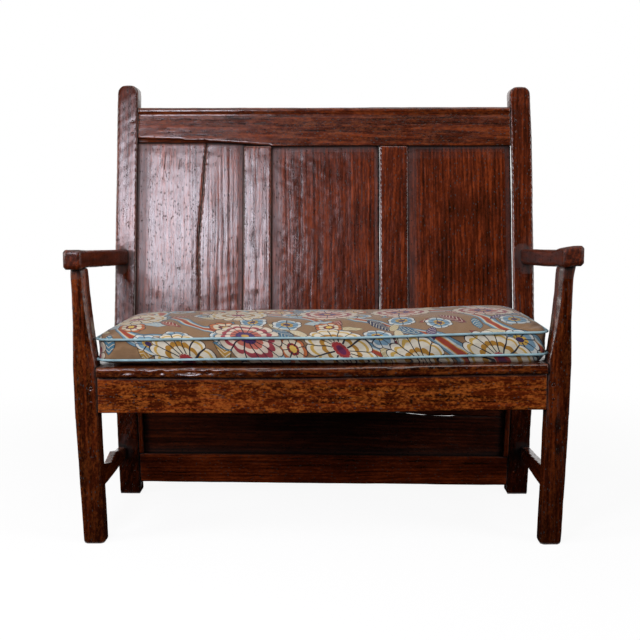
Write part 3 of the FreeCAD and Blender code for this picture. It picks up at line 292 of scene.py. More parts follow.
    # the mesh's edge attribute: above 0 on rubbed edges, in millimetres lost
    edge = add(tree, "Attribute", attribute_name="edge").outputs["Fac"]
    frayed = add(tree, "Math", {0: crumb.outputs["Fac"], 2: edge}, operation="MULTIPLY_ADD",
                 in_1=1.1)
    rubbed = add(tree, "MapRange", {"Value": frayed.outputs[0]}, in_1=0.95, in_2=1.8, in_3=0.0,
                 in_4=rub)
    colour = add(tree, "Mix", {"Factor": rubbed.outputs[0], 6: colour.outputs[2]},
                 data_type="RGBA", in_7=linear(oak.rubbed))
    # the mesh's grime_and_shade attribute: from 0 in the open to 1 deep in a corner; it darkens the
    # colour there, down to an eighth, as dirt and as painted shade
    grime_and_shade = add(tree, "Attribute", attribute_name="grime_and_shade").outputs["Fac"]
    ragged = add(tree, "Math", {0: mottle.outputs["Fac"], 2: grime_and_shade}, operation="MULTIPLY_ADD",
                 in_1=0.35)
    toned = add(tree, "MapRange", {"Value": ragged.outputs[0]}, in_1=0.22, in_2=0.80,
                in_3=shade, in_4=shade * 0.12)
    # painted shade: darker towards the floor by the foot factor, where less light reaches
    height = add(tree, "SeparateXYZ", {0: place})
    floor_shade = add(tree, "MapRange", {"Value": height.outputs[2]}, in_1=0.0, in_2=0.55, in_3=foot,
               in_4=1.0)
    toned = add(tree, "Math", {0: toned.outputs[0], 1: floor_shade.outputs[0]}, operation="MULTIPLY")
    toned = add(tree, "CombineColor", {0: toned.outputs[0], 1: toned.outputs[0],
                                       2: toned.outputs[0]})
    colour = add(tree, "Mix", {6: colour.outputs[2], 7: toned.outputs[0]}, data_type="RGBA",
                 blend_type="MULTIPLY", in_Factor=1.0)
    tree.links.new(colour.outputs[2], shader.inputs["Base Color"])

    # sheen: satin wax, duller in the pores, in the patches and in the corners
    gloss = add(tree, "Math", {0: mottle.outputs["Fac"]}, operation="MULTIPLY", in_1=0.14)
    gloss = add(tree, "Math", {0: fine.outputs["Fac"], 2: gloss.outputs[0]},
                operation="MULTIPLY_ADD", in_1=0.14)
    gloss = add(tree, "Math", {0: grime_and_shade, 2: gloss.outputs[0]}, operation="MULTIPLY_ADD",
                in_1=1.0)
    gloss = add(tree, "Math", {0: sunk.outputs[0], 2: gloss.outputs[0]},
                operation="MULTIPLY_ADD", in_1=0.5)
    gloss = add(tree, "Math", {0: gloss.outputs[0]}, operation="ADD", in_1=0.07 + dull,
                use_clamp=True)
    tree.links.new(gloss.outputs[0], shader.inputs["Roughness"])
    shader.inputs["IOR"].default_value = 1.5
    shader.inputs["Specular IOR Level"].default_value = 0.5 - dull

    # relief in millimetres: planing ridges 19 mm wide, streaks, pores, checks and holes
    ridge = add(tree, "VectorMath", {0: q}, operation="MULTIPLY", in_1=(52, 8, 1.0))
    ridge = add(tree, "TexNoise", {"Vector": ridge.outputs[0]}, in_Scale=1.0, in_Detail=1.0)
    relief = add(tree, "Math", {0: ridge.outputs["Fac"]}, operation="MULTIPLY",
                 in_1=ridges * 2.4)
    for source, height in ((streak, 0.34), (fine, 0.20), (mottle, 0.10), (crumb, 0.07)):
        relief = add(tree, "Math", {0: source.outputs["Fac"], 2: relief.outputs[0]},
                     operation="MULTIPLY_ADD", in_1=height)
    relief = add(tree, "Math", {0: sunk.outputs[0], 2: relief.outputs[0]},
                 operation="MULTIPLY_ADD", in_1=-0.5)
    bump = add(tree, "Bump", {"Height": relief.outputs[0]}, in_Strength=1.0, in_Distance=0.001)
    tree.links.new(bump.outputs[0], shader.inputs["Normal"])
    return made


def printed_linen():
    """Plain-woven linen with a block print: matte khaki ground, rosettes, leaves and stems in
    cream, ochre, blue, red and purple, each with a thin dark line."""
    cushion = bpy.context.scene.settle_cushion
    made, tree, shader = new_material("printed_linen")
    place = add(tree, "SeparateXYZ", {0: add(tree, "TexCoord").outputs["Object"]})
    across = add(tree, "Math", {0: place.outputs[2], 2: place.outputs[0]},
                 operation="MULTIPLY_ADD", in_1=0.6)
    down = add(tree, "Math", {0: place.outputs[2], 1: place.outputs[1]}, operation="ADD")
    flat = add(tree, "CombineXYZ", {0: across.outputs[0], 1: down.outputs[0]}).outputs[0]
    sway = add(tree, "TexNoise", {"Vector": flat}, in_Scale=9.0, in_Detail=2.0)
    sway = add(tree, "VectorMath", {0: sway.outputs["Color"]}, operation="MULTIPLY_ADD",
               in_1=(0.03, 0.03, 0), in_2=(-0.015, -0.015, 0))
    swayed = add(tree, "VectorMath", {0: flat, 1: sway.outputs[0]}, operation="ADD").outputs[0]
    ink = linear("#262430")

    # stems: wandering bands, about 55 mm wide where straight, pale blue with a dark line
    stem = add(tree, "TexWave", {"Vector": swayed}, bands_direction="DIAGONAL", in_Scale=2.6,
               in_Distortion=5.5, in_Detail=1.0, in_Detail_Scale=1.6)
    stem_fill = add(tree, "ValToRGB", {"Fac": stem.outputs["Fac"]}, hard=True, stops=(
        (0.0, cushion.ground), (0.76, cushion.ground), (0.77, "#262430"), (0.80, "#6F93A6"),
        (0.90, "#C8D2CE"), (0.955, "#D9A24A"), (0.975, "#A8432E")))
    colour = stem_fill.outputs["Color"]

    # leaves, 92 mm and 68 mm long: a pointed oval turned by its cell's own number
    for scale, reach, seed, tints in (
            (8.0, 0.046, 3.1, ((0.0, "#3E6C86"), (0.3, "#2C3550"), (0.5, "#A9BFC6"),
                               (0.68, "#B98D3C"), (0.84, "#7E2A35"))),
            (11.0, 0.034, 7.7, ((0.0, "#C9B98A"), (0.25, "#4D8098"), (0.5, "#9A3B32"),
                                (0.7, "#D8C9A4"), (0.86, "#50386A")))):
        moved = add(tree, "VectorMath", {0: swayed}, operation="ADD", in_1=(seed, seed * 0.6, 0))
        cell = add(tree, "TexVoronoi", {"Vector": moved.outputs[0]}, voronoi_dimensions="2D",
                   in_Scale=scale, in_Randomness=0.85)
        local = add(tree, "VectorMath", {0: moved.outputs[0], 1: cell.outputs["Position"]},
                    operation="SUBTRACT")
        own = add(tree, "SeparateColor", {"Color": cell.outputs["Color"]})
        turn = add(tree, "Math", {0: own.outputs[0]}, operation="MULTIPLY", in_1=6.283)
        local = add(tree, "VectorRotate", {"Vector": local.outputs[0], "Angle": turn.outputs[0]},
                    rotation_type="Z_AXIS")
        spot = add(tree, "SeparateXYZ", {0: local.outputs[0]})
        length = add(tree, "Math", {0: spot.outputs[0]}, operation="DIVIDE", in_1=reach)
        bulge = add(tree, "Math", {0: length.outputs[0], 1: length.outputs[0]},
                    operation="MULTIPLY")
        bulge = add(tree, "Math", {1: bulge.outputs[0]}, operation="SUBTRACT", in_0=1.0)
        half = add(tree, "Math", {0: bulge.outputs[0]}, operation="MULTIPLY", in_1=reach * 0.42)
        side = add(tree, "Math", {0: spot.outputs[1]}, operation="ABSOLUTE")
        inside = add(tree, "Math", {0: half.outputs[0], 1: side.outputs[0]}, operation="SUBTRACT")
        leaf = add(tree, "ValToRGB", {"Fac": own.outputs[1]}, stops=tints, hard=True)
        vein = add(tree, "Math", {0: spot.outputs[0], 1: side.outputs[0]}, operation="ADD")
        vein = add(tree, "Math", {0: vein.outputs[0]}, operation="PINGPONG", in_1=0.0055)
        vein = add(tree, "Math", {0: vein.outputs[0]}, operation="LESS_THAN", in_1=0.0011)
        body = add(tree, "Mix", {"Factor": vein.outputs[0], 6: leaf.outputs["Color"]},
                   data_type="RGBA", in_7=linear("#E3DAC0"))
        rim = add(tree, "Math", {0: inside.outputs[0]}, operation="LESS_THAN", in_1=0.0017)
        body = add(tree, "Mix", {"Factor": rim.outputs[0], 6: body.outputs[2]},
                   data_type="RGBA", in_7=ink)
        mask = add(tree, "Math", {0: inside.outputs[0]}, operation="GREATER_THAN", in_1=0.0)
        colour = add(tree, "Mix", {"Factor": mask.outputs[0], 6: colour, 7: body.outputs[2]},
                     data_type="RGBA").outputs[2]

    # rosettes, 74 mm and 164 mm across, with scalloped petals in rings of colour
    for scale, radius, petals, seed, share, rings in (
            (10.5, 0.037, 8, 5.3, 0.45, (
                ((0.0, "#E7C35A"), (0.24, "#8C2A2A"), (0.42, "#E9DDBF"), (0.72, "#C7713F")),
                ((0.0, "#3B2A55"), (0.22, "#D9B04E"), (0.40, "#7FA4B8"), (0.76, "#DFE3DC")))),
            (4.6, 0.082, 15, 1.9, 0.0, (
                ((0.0, "#6B2350"), (0.13, "#A83234"), (0.24, "#E8E0C6"), (0.44, "#B8862F"),
                 (0.58, "#EDE6D0"), (0.80, "#D9B45C"), (0.88, "#EFE9D6")),
                ((0.0, "#D9A441"), (0.12, "#4A2F66"), (0.30, "#C9705E"), (0.50, "#EBD9C4"),
                 (0.66, "#A6404A"), (0.80, "#E6D8C0"))))):
        moved = add(tree, "VectorMath", {0: swayed}, operation="ADD", in_1=(seed, seed * 1.4, 0))
        cell = add(tree, "TexVoronoi", {"Vector": moved.outputs[0]}, voronoi_dimensions="2D",
                   in_Scale=scale, in_Randomness=0.55)
        local = add(tree, "VectorMath", {0: moved.outputs[0], 1: cell.outputs["Position"]},
                    operation="SUBTRACT")
        own = add(tree, "SeparateColor", {"Color": cell.outputs["Color"]})
        spot = add(tree, "SeparateXYZ", {0: local.outputs[0]})
        angle = add(tree, "Math", {0: spot.outputs[1], 1: spot.outputs[0]}, operation="ARCTAN2")
        wave = add(tree, "Math", {0: angle.outputs[0]}, operation="MULTIPLY", in_1=petals / 2)
        wave = add(tree, "Math", {0: wave.outputs[0]}, operation="SINE")
        petal = add(tree, "Math", {0: wave.outputs[0]}, operation="ABSOLUTE")
        lobed = add(tree, "Math", {0: petal.outputs[0]}, operation="POWER", in_1=0.45)
        edge = add(tree, "Math", {0: lobed.outputs[0]}, operation="MULTIPLY_ADD",
                   in_1=radius * 0.16, in_2=radius * 0.84)
        reach = add(tree, "VectorMath", {0: local.outputs[0]}, operation="LENGTH")
        share_out = add(tree, "Math", {0: reach.outputs["Value"], 1: edge.outputs[0]},
                        operation="DIVIDE")
        one, two = [add(tree, "ValToRGB", {"Fac": share_out.outputs[0]}, stops=ring, hard=True)
                    for ring in rings]
        kind = add(tree, "Math", {0: own.outputs[1]}, operation="GREATER_THAN", in_1=0.5)
        body = add(tree, "Mix", {"Factor": kind.outputs[0], 6: one.outputs["Color"],
                                 7: two.outputs["Color"]}, data_type="RGBA")
        parting = add(tree, "Math", {0: petal.outputs[0], 1: share_out.outputs[0]},
                      operation="MULTIPLY")
        parting = add(tree, "Math", {0: parting.outputs[0]}, operation="LESS_THAN", in_1=0.14)
        outer = add(tree, "Math", {0: share_out.outputs[0]}, operation="GREATER_THAN", in_1=0.26)
        parting = add(tree, "Math", {0: parting.outputs[0], 1: outer.outputs[0]},
                      operation="MULTIPLY")
        rim = add(tree, "Math", {0: share_out.outputs[0]}, operation="GREATER_THAN",
                  in_1=1 - 0.0022 / radius)
        line = add(tree, "Math", {0: parting.outputs[0], 1: rim.outputs[0]}, operation="MAXIMUM")
        body = add(tree, "Mix", {"Factor": line.outputs[0], 6: body.outputs[2]},
                   data_type="RGBA", in_7=ink)
        mask = add(tree, "Math", {0: share_out.outputs[0]}, operation="LESS_THAN", in_1=1.0)
        shown = add(tree, "Math", {0: own.outputs[2]}, operation="GREATER_THAN", in_1=share)
        mask = add(tree, "Math", {0: mask.outputs[0], 1: shown.outputs[0]}, operation="MULTIPLY")
        colour = add(tree, "Mix", {"Factor": mask.outputs[0], 6: colour, 7: body.outputs[2]},
                     data_type="RGBA").outputs[2]

    # weave: threads 1.6 mm apart, coarser than real linen so that they show
    threads = []
    for line in (across, down):
        thread = add(tree, "Math", {0: line.outputs[0]}, operation="MULTIPLY",
                     in_1=2 * math.pi / 0.0016)
        threads.append(add(tree, "Math", {0: thread.outputs[0]}, operation="SINE"))
    weave = add(tree, "Math", {0: threads[0].outputs[0], 1: threads[1].outputs[0]},
                operation="MULTIPLY")
    slub = add(tree, "VectorMath", {0: flat}, operation="MULTIPLY", in_1=(60, 900, 0))
    slub = add(tree, "TexNoise", {"Vector": slub.outputs[0]}, in_Scale=1.0, in_Detail=2.0)
    faded = add(tree, "MapRange", {"Value": slub.outputs["Fac"]}, in_1=0.25, in_2=0.75,
                in_3=0.52, in_4=0.72)
    faded = add(tree, "CombineColor", {0: faded.outputs[0], 1: faded.outputs[0],
                                       2: faded.outputs[0]})
    colour = add(tree, "Mix", {6: colour, 7: faded.outputs[0]}, data_type="RGBA",
                 blend_type="MULTIPLY", in_Factor=1.0)
    tree.links.new(colour.outputs[2], shader.inputs["Base Color"])
    relief = add(tree, "Math", {0: weave.outputs[0]}, operation="MULTIPLY", in_1=0.10)
    relief = add(tree, "Math", {0: slub.outputs["Fac"], 2: relief.outputs[0]},
                 operation="MULTIPLY_ADD", in_1=0.35)
    bump = add(tree, "Bump", {"Height": relief.outputs[0]}, in_Strength=0.8, in_Distance=0.001)
    tree.links.new(bump.outputs[0], shader.inputs["Normal"])
    shader.inputs["Roughness"].default_value = 0.85
    shader.inputs["Specular IOR Level"].default_value = 0.25
    shader.inputs["Sheen Weight"].default_value = 0.15
    return made


def piping_cloth():
    """Plain cotton cut on the bias round a cord: pale blue-grey, matte, with fine slanting rib."""
    made, tree, shader = new_material("piping_cloth")
    place = add(tree, "TexCoord").outputs["Object"]
    # slanting threads 1.4 mm apart
    rib = add(tree, "Mapping", {"Vector": place}, in_Rotation=(0.6, 0.5, 0.7))
    rib = add(tree, "TexWave", {"Vector": rib.outputs[0]}, in_Scale=220.0, in_Distortion=1.0)
    soil = add(tree, "TexNoise", {"Vector": place}, in_Scale=30.0, in_Detail=3.0)
    tint = bpy.context.scene.settle_cushion.piping_colour
    colour = add(tree, "ValToRGB", {"Fac": soil.outputs["Fac"]}, stops=(
        (0.30, "#6E8C94"), (0.62, tint)))
    tree.links.new(colour.outputs["Color"], shader.inputs["Base Color"])
    bump = add(tree, "Bump", {"Height": rib.outputs["Fac"]}, in_Strength=0.6, in_Distance=0.0004)
    tree.links.new(bump.outputs[0], shader.inputs["Normal"])
    shader.inputs["Roughness"].default_value = 0.8
    return made


# Shapes


def merged_copy(cad_node, name):
    """A piece that starts as a CAD node's mesh, with its loose triangles joined."""
    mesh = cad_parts[cad_node].data.copy()
    mesh.name = name
    mesh.materials.clear()
    work = bmesh.new()
    work.from_mesh(mesh)
    bmesh.ops.remove_doubles(work, verts=work.verts, dist=0.00001)
    work.to_mesh(mesh)
    work.free()
    piece = bpy.data.objects.new(name, mesh)
    bpy.context.scene.collection.objects.link(piece)
    return piece


def evaluated_mesh(piece):
    """The mesh that the piece's modifiers make now."""
    depsgraph = bpy.context.evaluated_depsgraph_get()
    depsgraph.update()
    return bpy.data.meshes.new_from_object(piece.evaluated_get(depsgraph))


def numbers(mesh, kind):
    """The places or the normals of a mesh's points, one row each."""
    found = np.zeros(len(mesh.vertices) * 3)
    if kind == "co":
        mesh.vertices.foreach_get("co", found)
    else:
        mesh.vertex_normals.foreach_get("vector", found)
    return found.reshape(-1, 3)


def slow_waves(points, seed, size):
    """Smooth random heights from -1 to 1 for points, with waves about size long."""
    maker = np.random.default_rng(seed)
    total = np.zeros(len(points))
    for _ in range(8):
        way = maker.normal(size=3)
        way /= np.linalg.norm(way)
        length = size * maker.uniform(0.5, 1.9)
        total += np.sin(points @ way * (2 * math.pi / length) + maker.uniform(0, 2 * math.pi))
    return total / 4


def smooth_step(numbers):
    """Numbers held from 0 to 1 and eased at both ends."""
    held = np.clip(numbers, 0, 1)
    return held * held * (3 - 2 * held)


def racked(points):
    """Where the points of the frame have gone with age: the right post leans out, the seat's
    front edge and the bottom rail are out of level, and the post tops differ in height."""
    x, y, z = points.T
    moved = points.copy()
    behind = smooth_step(y / 0.1)
    lean = np.interp(z, (0, 0.25, 0.5, 0.95, 1.05, 1.16), (0, 2.5, 5.5, 5.8, 5.0, 2.4)) / 1000
    moved[:, 0] += smooth_step((x - 0.2) / 0.3) * behind * lean
    knuckle = smooth_step((z - 0.67) / 0.03) * smooth_step(-(y + 0.2) / 0.05)
    moved[:, 0] += knuckle * (smooth_step((x - 0.585) / 0.04) * 0.005
                              + smooth_step((-x - 0.585) / 0.04) * 0.0025)
    moved[:, 2] += knuckle * smooth_step((x - 0.56) / 0.05) * 0.0085
    seat = smooth_step((z - 0.20) / 0.1) * smooth_step((0.62 - z) / 0.15) * smooth_step(-y / 0.1)
    moved[:, 2] += seat * (smooth_step((x + 0.15) / 0.7) * 0.010 - 0.004)
    foot = smooth_step((0.3 - z) / 0.1) * behind * (abs(x) < 0.5375)
    moved[:, 2] -= foot * x * 0.009
    top = smooth_step((z - 1.06) / 0.1) * (abs(x) > 0.5385)
    moved[:, 2] += top * np.where(x < 0, 0.004, -0.003)
    return moved


def closed_split(points):
    """Shut the split between the two left boards low down, and close its back higher up, where
    the boards were lapped, so that it shows dark."""
    x, y, z = points.T
    line = np.interp(z, (0.573, 0.715, 0.858, 1.01), (-0.353, -0.361, -0.347, -0.340))
    near = smooth_step(1 - (x - line - 0.004) / 0.012)
    depth = y * math.cos(BACK_RAKE) - z * math.sin(BACK_RAKE)
    behind = smooth_step((depth - depth.min()) / np.ptp(depth) * 4 - 1.2)
    moved = points.copy()
    moved[:, 0] -= near * np.maximum(behind * 0.007, smooth_step((0.74 - z) / 0.04) * 0.003)
    return moved


def turned(angle):
    """A change of shape that turns a board a little about its own upright middle."""
    def shape(points):
        moved = points.copy()
        moved[:, 1] += (points[:, 0] - points[:, 0].mean()) * math.tan(angle)
        return moved
    return shape


def tipped(angle):
    """A change of shape that leans a rail a little further back."""
    def shape(points):
        moved = points.copy()
        moved[:, 1] += (points[:, 2] - points[:, 2].mean()) * math.tan(angle)
        return moved
    return shape


def swollen_edge(points):
    """A board whose right edge has crept towards its neighbour."""
    moved = points.copy()
    moved[:, 0] += smooth_step((points[:, 0] - points[:, 0].max() + 0.03) / 0.02) * 0.0016
    return moved


def raised_edge(points):
    """A board whose upper edge nearly meets the board above, in some places more than others."""
    share = smooth_step((points[:, 2] - points[:, 2].max() + 0.03) / 0.02)
    uneven = 0.0020 + 0.0016 * smooth_step((points[:, 0] - 0.28) / 0.05)
    uneven = uneven + slow_waves(points * (1, 0, 0), 93, 0.09) * 0.0007
    moved = points.copy()
    moved[:, 2] += share * uneven
    return moved


# Pieces that have shifted, and how.
SHIFTS = {
    "centre_board": (swollen_edge,),
    "right_board": (swollen_edge,),
    "lower_back_lower_board": (raised_edge,),
    "back_top_rail": (tipped(0.05),),
    "left_inner_board": (closed_split, turned(0.012)),
    "left_muntin": (turned(-0.035),),
}


def sheltered(points, normals, tree):
    """How hemmed in each point is by wood within 40 mm, from 0 to 1: where dirt gathers and where
    shade falls, which is painted into the wood's colour.
    """
    hidden, total = np.zeros(len(points)), np.full(len(points), 1e-6)
    starts = (points + normals * 0.0022).tolist()
    for step in range(SHELTER_LINES):
        height = 1 - (2 * step + 1) / SHELTER_LINES
        level = math.sqrt(1 - height * height)
        way = (level * math.cos(step * 2.4), level * math.sin(step * 2.4), height)
        facing = normals @ np.array(way)
        for index in np.nonzero(facing > 0.15)[0].tolist():
            total[index] += facing[index]
            if tree.ray_cast(starts[index], way, SHELTER_REACH)[0]:
                hidden[index] += facing[index]
    return hidden / total


def store(mesh, name, values):
    """Keep one number a point on a mesh, as an attribute."""
    attribute = mesh.attributes.new(name, "FLOAT", "POINT")
    attribute.data.foreach_set("value", values.astype(np.float32))


def worn_piece(cad_node, voxel, softness, waviness, seed, tree, dents=()):
    """A wooden piece from its CAD solid: edges rubbed round, faces slightly uneven, with dents.
    Its edge attribute holds the wood lost at each point, in millimetres, and its grime_and_shade
    attribute how sheltered the point is, from 0 to 1, which darkens the colour as dirt and as painted
    shade."""
    piece = merged_copy(cad_node, "worn_" + cad_node)
    grid = piece.modifiers.new("grid", "REMESH")
    grid.mode = "VOXEL"
    grid.voxel_size = voxel
    sharp = evaluated_mesh(piece)
    rub = piece.modifiers.new("rub", "SMOOTH")
    rub.iterations = softness
    rub.factor = 0.5
    soft = evaluated_mesh(piece)
    piece.modifiers.clear()
    before, after, normals = numbers(sharp, "co"), numbers(soft, "co"), numbers(soft, "normal")
    store(soft, "edge", ((before - after) * normals).sum(1) * 1000)
    store(soft, "grime_and_shade", sheltered(after, normals, tree))
    height = slow_waves(after, seed, 0.16) * waviness
    height += slow_waves(after, seed + 50, 0.035) * waviness * 0.35
    height = np.minimum(height, waviness * 0.6)
    for place, reach, depth in dents:
        away = np.linalg.norm((after - np.array(place)) / np.array(reach), axis=1)
        height -= depth * np.exp(-away ** 2 * 2)
    after = after + normals * height[:, None]
    for shift in SHIFTS.get(cad_node, ()):
        after = shift(after)
    after = racked(after)
    soft.vertices.foreach_set("co", after.ravel())
    soft.polygons.foreach_set("use_smooth", [True] * len(soft.polygons))
    soft.update()
    bpy.data.meshes.remove(sharp)
    piece.data = soft
    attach(piece, "bench")
    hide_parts(cad_node)
    return piece


def dress(piece, material):
    """Give a piece its material."""
    piece.data.materials.clear()
    piece.data.materials.append(material)


def make_worn(rows):
    """Worn pieces from rows of a node, mesh spacing, grain, a seed and the finish's own values."""
    oak = bpy.context.scene.settle_oak
    work = bmesh.new()
    for cad_node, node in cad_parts.items():
        if not cad_node.startswith("cushion"):
            work.from_mesh(node.data)
    tree = BVHTree.FromBMesh(work)
    work.free()
    for cad_node, voxel, grain, seed, finish, dents in rows:
        piece = worn_piece(cad_node, voxel, oak.softness, oak.waviness, seed, tree, dents)
        dress(piece, waxed_oak("waxed_oak_" + cad_node, grain, seed, **finish))


# Operators


class SETTLE_OT_posts(bpy.types.Operator):
    """Make the back posts and the front legs"""
    bl_idname = "settle.posts"
    bl_label = "Posts and legs"

    def execute(self, context):
        make_worn((
            ("left_back_post", 0.004, "raked", 1, {"shade": 0.9, "foot": 0.3}, ()),
            ("right_back_post", 0.004, "raked", 2, {"shade": 0.85, "foot": 0.3}, ()),
            ("left_front_leg", 0.0035, "upright", 3, {
                "shade": 0.85, "golden": 0.25, "foot": 0.5, "rub": 0.35}, ()),
            ("right_front_leg", 0.0035, "upright", 4, {
                "shade": 0.75, "golden": 0.15, "foot": 0.45, "rub": 0.3,
                "stains": ((0.584, 0.310, 0.012, 0.030), (0.586, 0.245, 0.013, 0.020))}, ()),
        ))
        return {"FINISHED"}


class SETTLE_OT_arms(bpy.types.Operator):
    """Make the arms"""
    bl_idname = "settle.arms"
    bl_label = "Arms"

    def execute(self, context):
        make_worn((
            ("left_arm", 0.003, "deep", 5, {"shade": 0.8, "dull": 0.1}, ()),
            ("right_arm", 0.003, "deep", 6, {"shade": 0.75, "dull": 0.25}, ()),
        ))
        return {"FINISHED"}


class SETTLE_OT_seat(bpy.types.Operator):
    """Make the seat rails, planks and their supports"""
    bl_idname = "settle.seat"
    bl_label = "Seat"

    def execute(self, context):
        maker = np.random.default_rng(12)
        low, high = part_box("front_seat_plank")
        chips = []
        for _ in range(26):
            x = maker.uniform(-0.50, 0.50) if maker.random() < 0.35 else maker.uniform(-0.50, -0.12)
            z = high.z - maker.choice([0.001, 0.012])
            chips.append(((x, low.y, z), (maker.uniform(0.008, 0.03), 0.009, 0.006),
                          maker.uniform(0.0015, 0.0035)))
        make_worn((
            ("front_seat_rail", 0.003, "along", 7,
             {"golden": 0.6, "ridges": 0.1, "specks": 0.35, "shade": 1.12, "rub": 0.3,
              "knots": KNOTS_RAIL}, ()),
            ("front_seat_plank", 0.003, "along", 8, {"shade": 0.55, "golden": 0.5, "rub": 0.5}, chips),
            ("middle_seat_plank", 0.005, "along", 9, {"shade": 0.8}, ()),
            ("back_seat_plank", 0.005, "along", 10, {"shade": 0.8}, ()),
            ("left_seat_rail", 0.004, "deep", 11, {"shade": 0.8}, ()),
            ("right_seat_rail", 0.004, "deep", 12, {"shade": 0.8}, ()),
            ("seat_ledger", 0.005, "along", 13, {"shade": 0.7}, ()),
            ("middle_seat_bearer", 0.005, "deep", 14, {"shade": 0.7}, ()),
            ("left_stretcher", 0.003, "deep", 15, {"shade": 0.85, "golden": 0.3}, ()),
            ("right_stretcher", 0.003, "deep", 16, {"shade": 0.8}, ()),
        ))
        return {"FINISHED"}


class SETTLE_OT_back(bpy.types.Operator):
    """Make the rails, muntins and boards of the back"""
    bl_idname = "settle.back"
    bl_label = "Back"

    def execute(self, context):
        make_worn((
            ("back_top_rail", 0.003, "along", 21, {
                "ridges": 0.12, "golden": 0.15, "rub": 0, "shade": 0.82}, ()),
            ("back_seat_rail", 0.005, "along", 22, {}, ()),
            ("back_bottom_rail", 0.004, "along", 23, {"ridges": 0.1, "shade": 1.25}, ()),
            ("left_muntin", 0.003, "raked", 24, {"ridges": 0.3, "rub": 0}, ()),
            ("right_muntin", 0.003, "raked", 25, {"ridges": 0.12, "rub": 0}, ()),
        ))
        make_worn((
            ("left_outer_board", 0.0035, "raked", 31, {"ridges": 0.5, "specks": 0.8, "rub": 0}, ()),
            ("left_inner_board", 0.0035, "raked", 32, {"ridges": 0.6, "rub": 0}, ()),
            ("centre_board", 0.004, "raked", 33, {"ridges": 0.25, "knots": KNOTS_CENTRE}, ()),
            ("right_board", 0.004, "raked", 34, {"ridges": 0.1, "knots": KNOTS_RIGHT}, ()),
            # painted shade: the two lower back boards are darkened (shade 0.6) for the shade under the
            # seat
            ("lower_back_upper_board", 0.003, "along", 35, {
                "ridges": 0.1, "shade": 0.6, "dull": 0.15, "rub": 0}, ()),
            ("lower_back_lower_board", 0.003, "along", 36, {
                "ridges": 0.1, "shade": 0.6, "dull": 0.15, "rub": 0}, ()),
            ("left_edge_strip", 0.003, "kicked", 37, {}, ()),
            ("right_edge_strip", 0.003, "kicked", 38, {}, ()),
        ))
        return {"FINISHED"}


# Knots of the rail and the boards: place in metres and size.
KNOTS_RAIL = ((0.222, -0.29, 0.365, 0.007),)
KNOTS_CENTRE = ((0.085, 0.19, 0.905, 0.011), (0.028, 0.18, 0.855, 0.008),
                (-0.030, 0.15, 0.715, 0.010), (0.055, 0.15, 0.72, 0.008))
KNOTS_RIGHT = ((0.405, 0.15, 0.680, 0.009), (0.463, 0.15, 0.668, 0.008))


class SETTLE_OT_pegs(bpy.types.Operator):
    """Make the pegs"""
    bl_idname = "settle.pegs"
    bl_label = "Pegs"

    def execute(self, context):
        for index, cad_node in enumerate(
                ("seat_rail_pegs", "stretcher_pegs", "back_frame_pegs", "arm_pegs")):
            piece = merged_copy(cad_node, "shaved_" + cad_node)
            soft = piece.modifiers.new("soft", "BEVEL")
            soft.width = 0.0008
            soft.segments = 2
            soft.limit_method = "ANGLE"
            piece.data.vertices.foreach_set("co", racked(numbers(piece.data, "co")).ravel())
            piece.data.polygons.foreach_set("use_smooth", [True] * len(piece.data.polygons))
            dress(piece, waxed_oak("waxed_oak_" + cad_node, "upright", 40 + index, shade=0.55))
            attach(piece, "bench")
            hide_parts(cad_node)
        return {"FINISHED"}


def settle_shape(points, settings):
    """The uneven filling: the right end stands higher, and the cloth waves a little."""
    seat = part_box("cushion_pad")[0].z
    share = smooth_step((points[:, 0] - 0.05) / 0.5)
    held = np.clip((points[:, 2] - seat) / 0.02, 0, 1)
    lift = share * settings.right_lift - smooth_step((-points[:, 0] - 0.2) / 0.35) * 0.006
    lift += slow_waves(points * (1, 1, 0), 71, 0.4) * 0.0016
    moved = points.copy()
    moved[:, 0] += np.sign(points[:, 0]) * smooth_step((abs(points[:, 0]) - 0.3) / 0.24) * 0.009
    moved[:, 2] += held * lift
    moved[:, 1] += held * slow_waves(points * (1, 0, 1), 72, 0.3) * 0.0015
    return moved


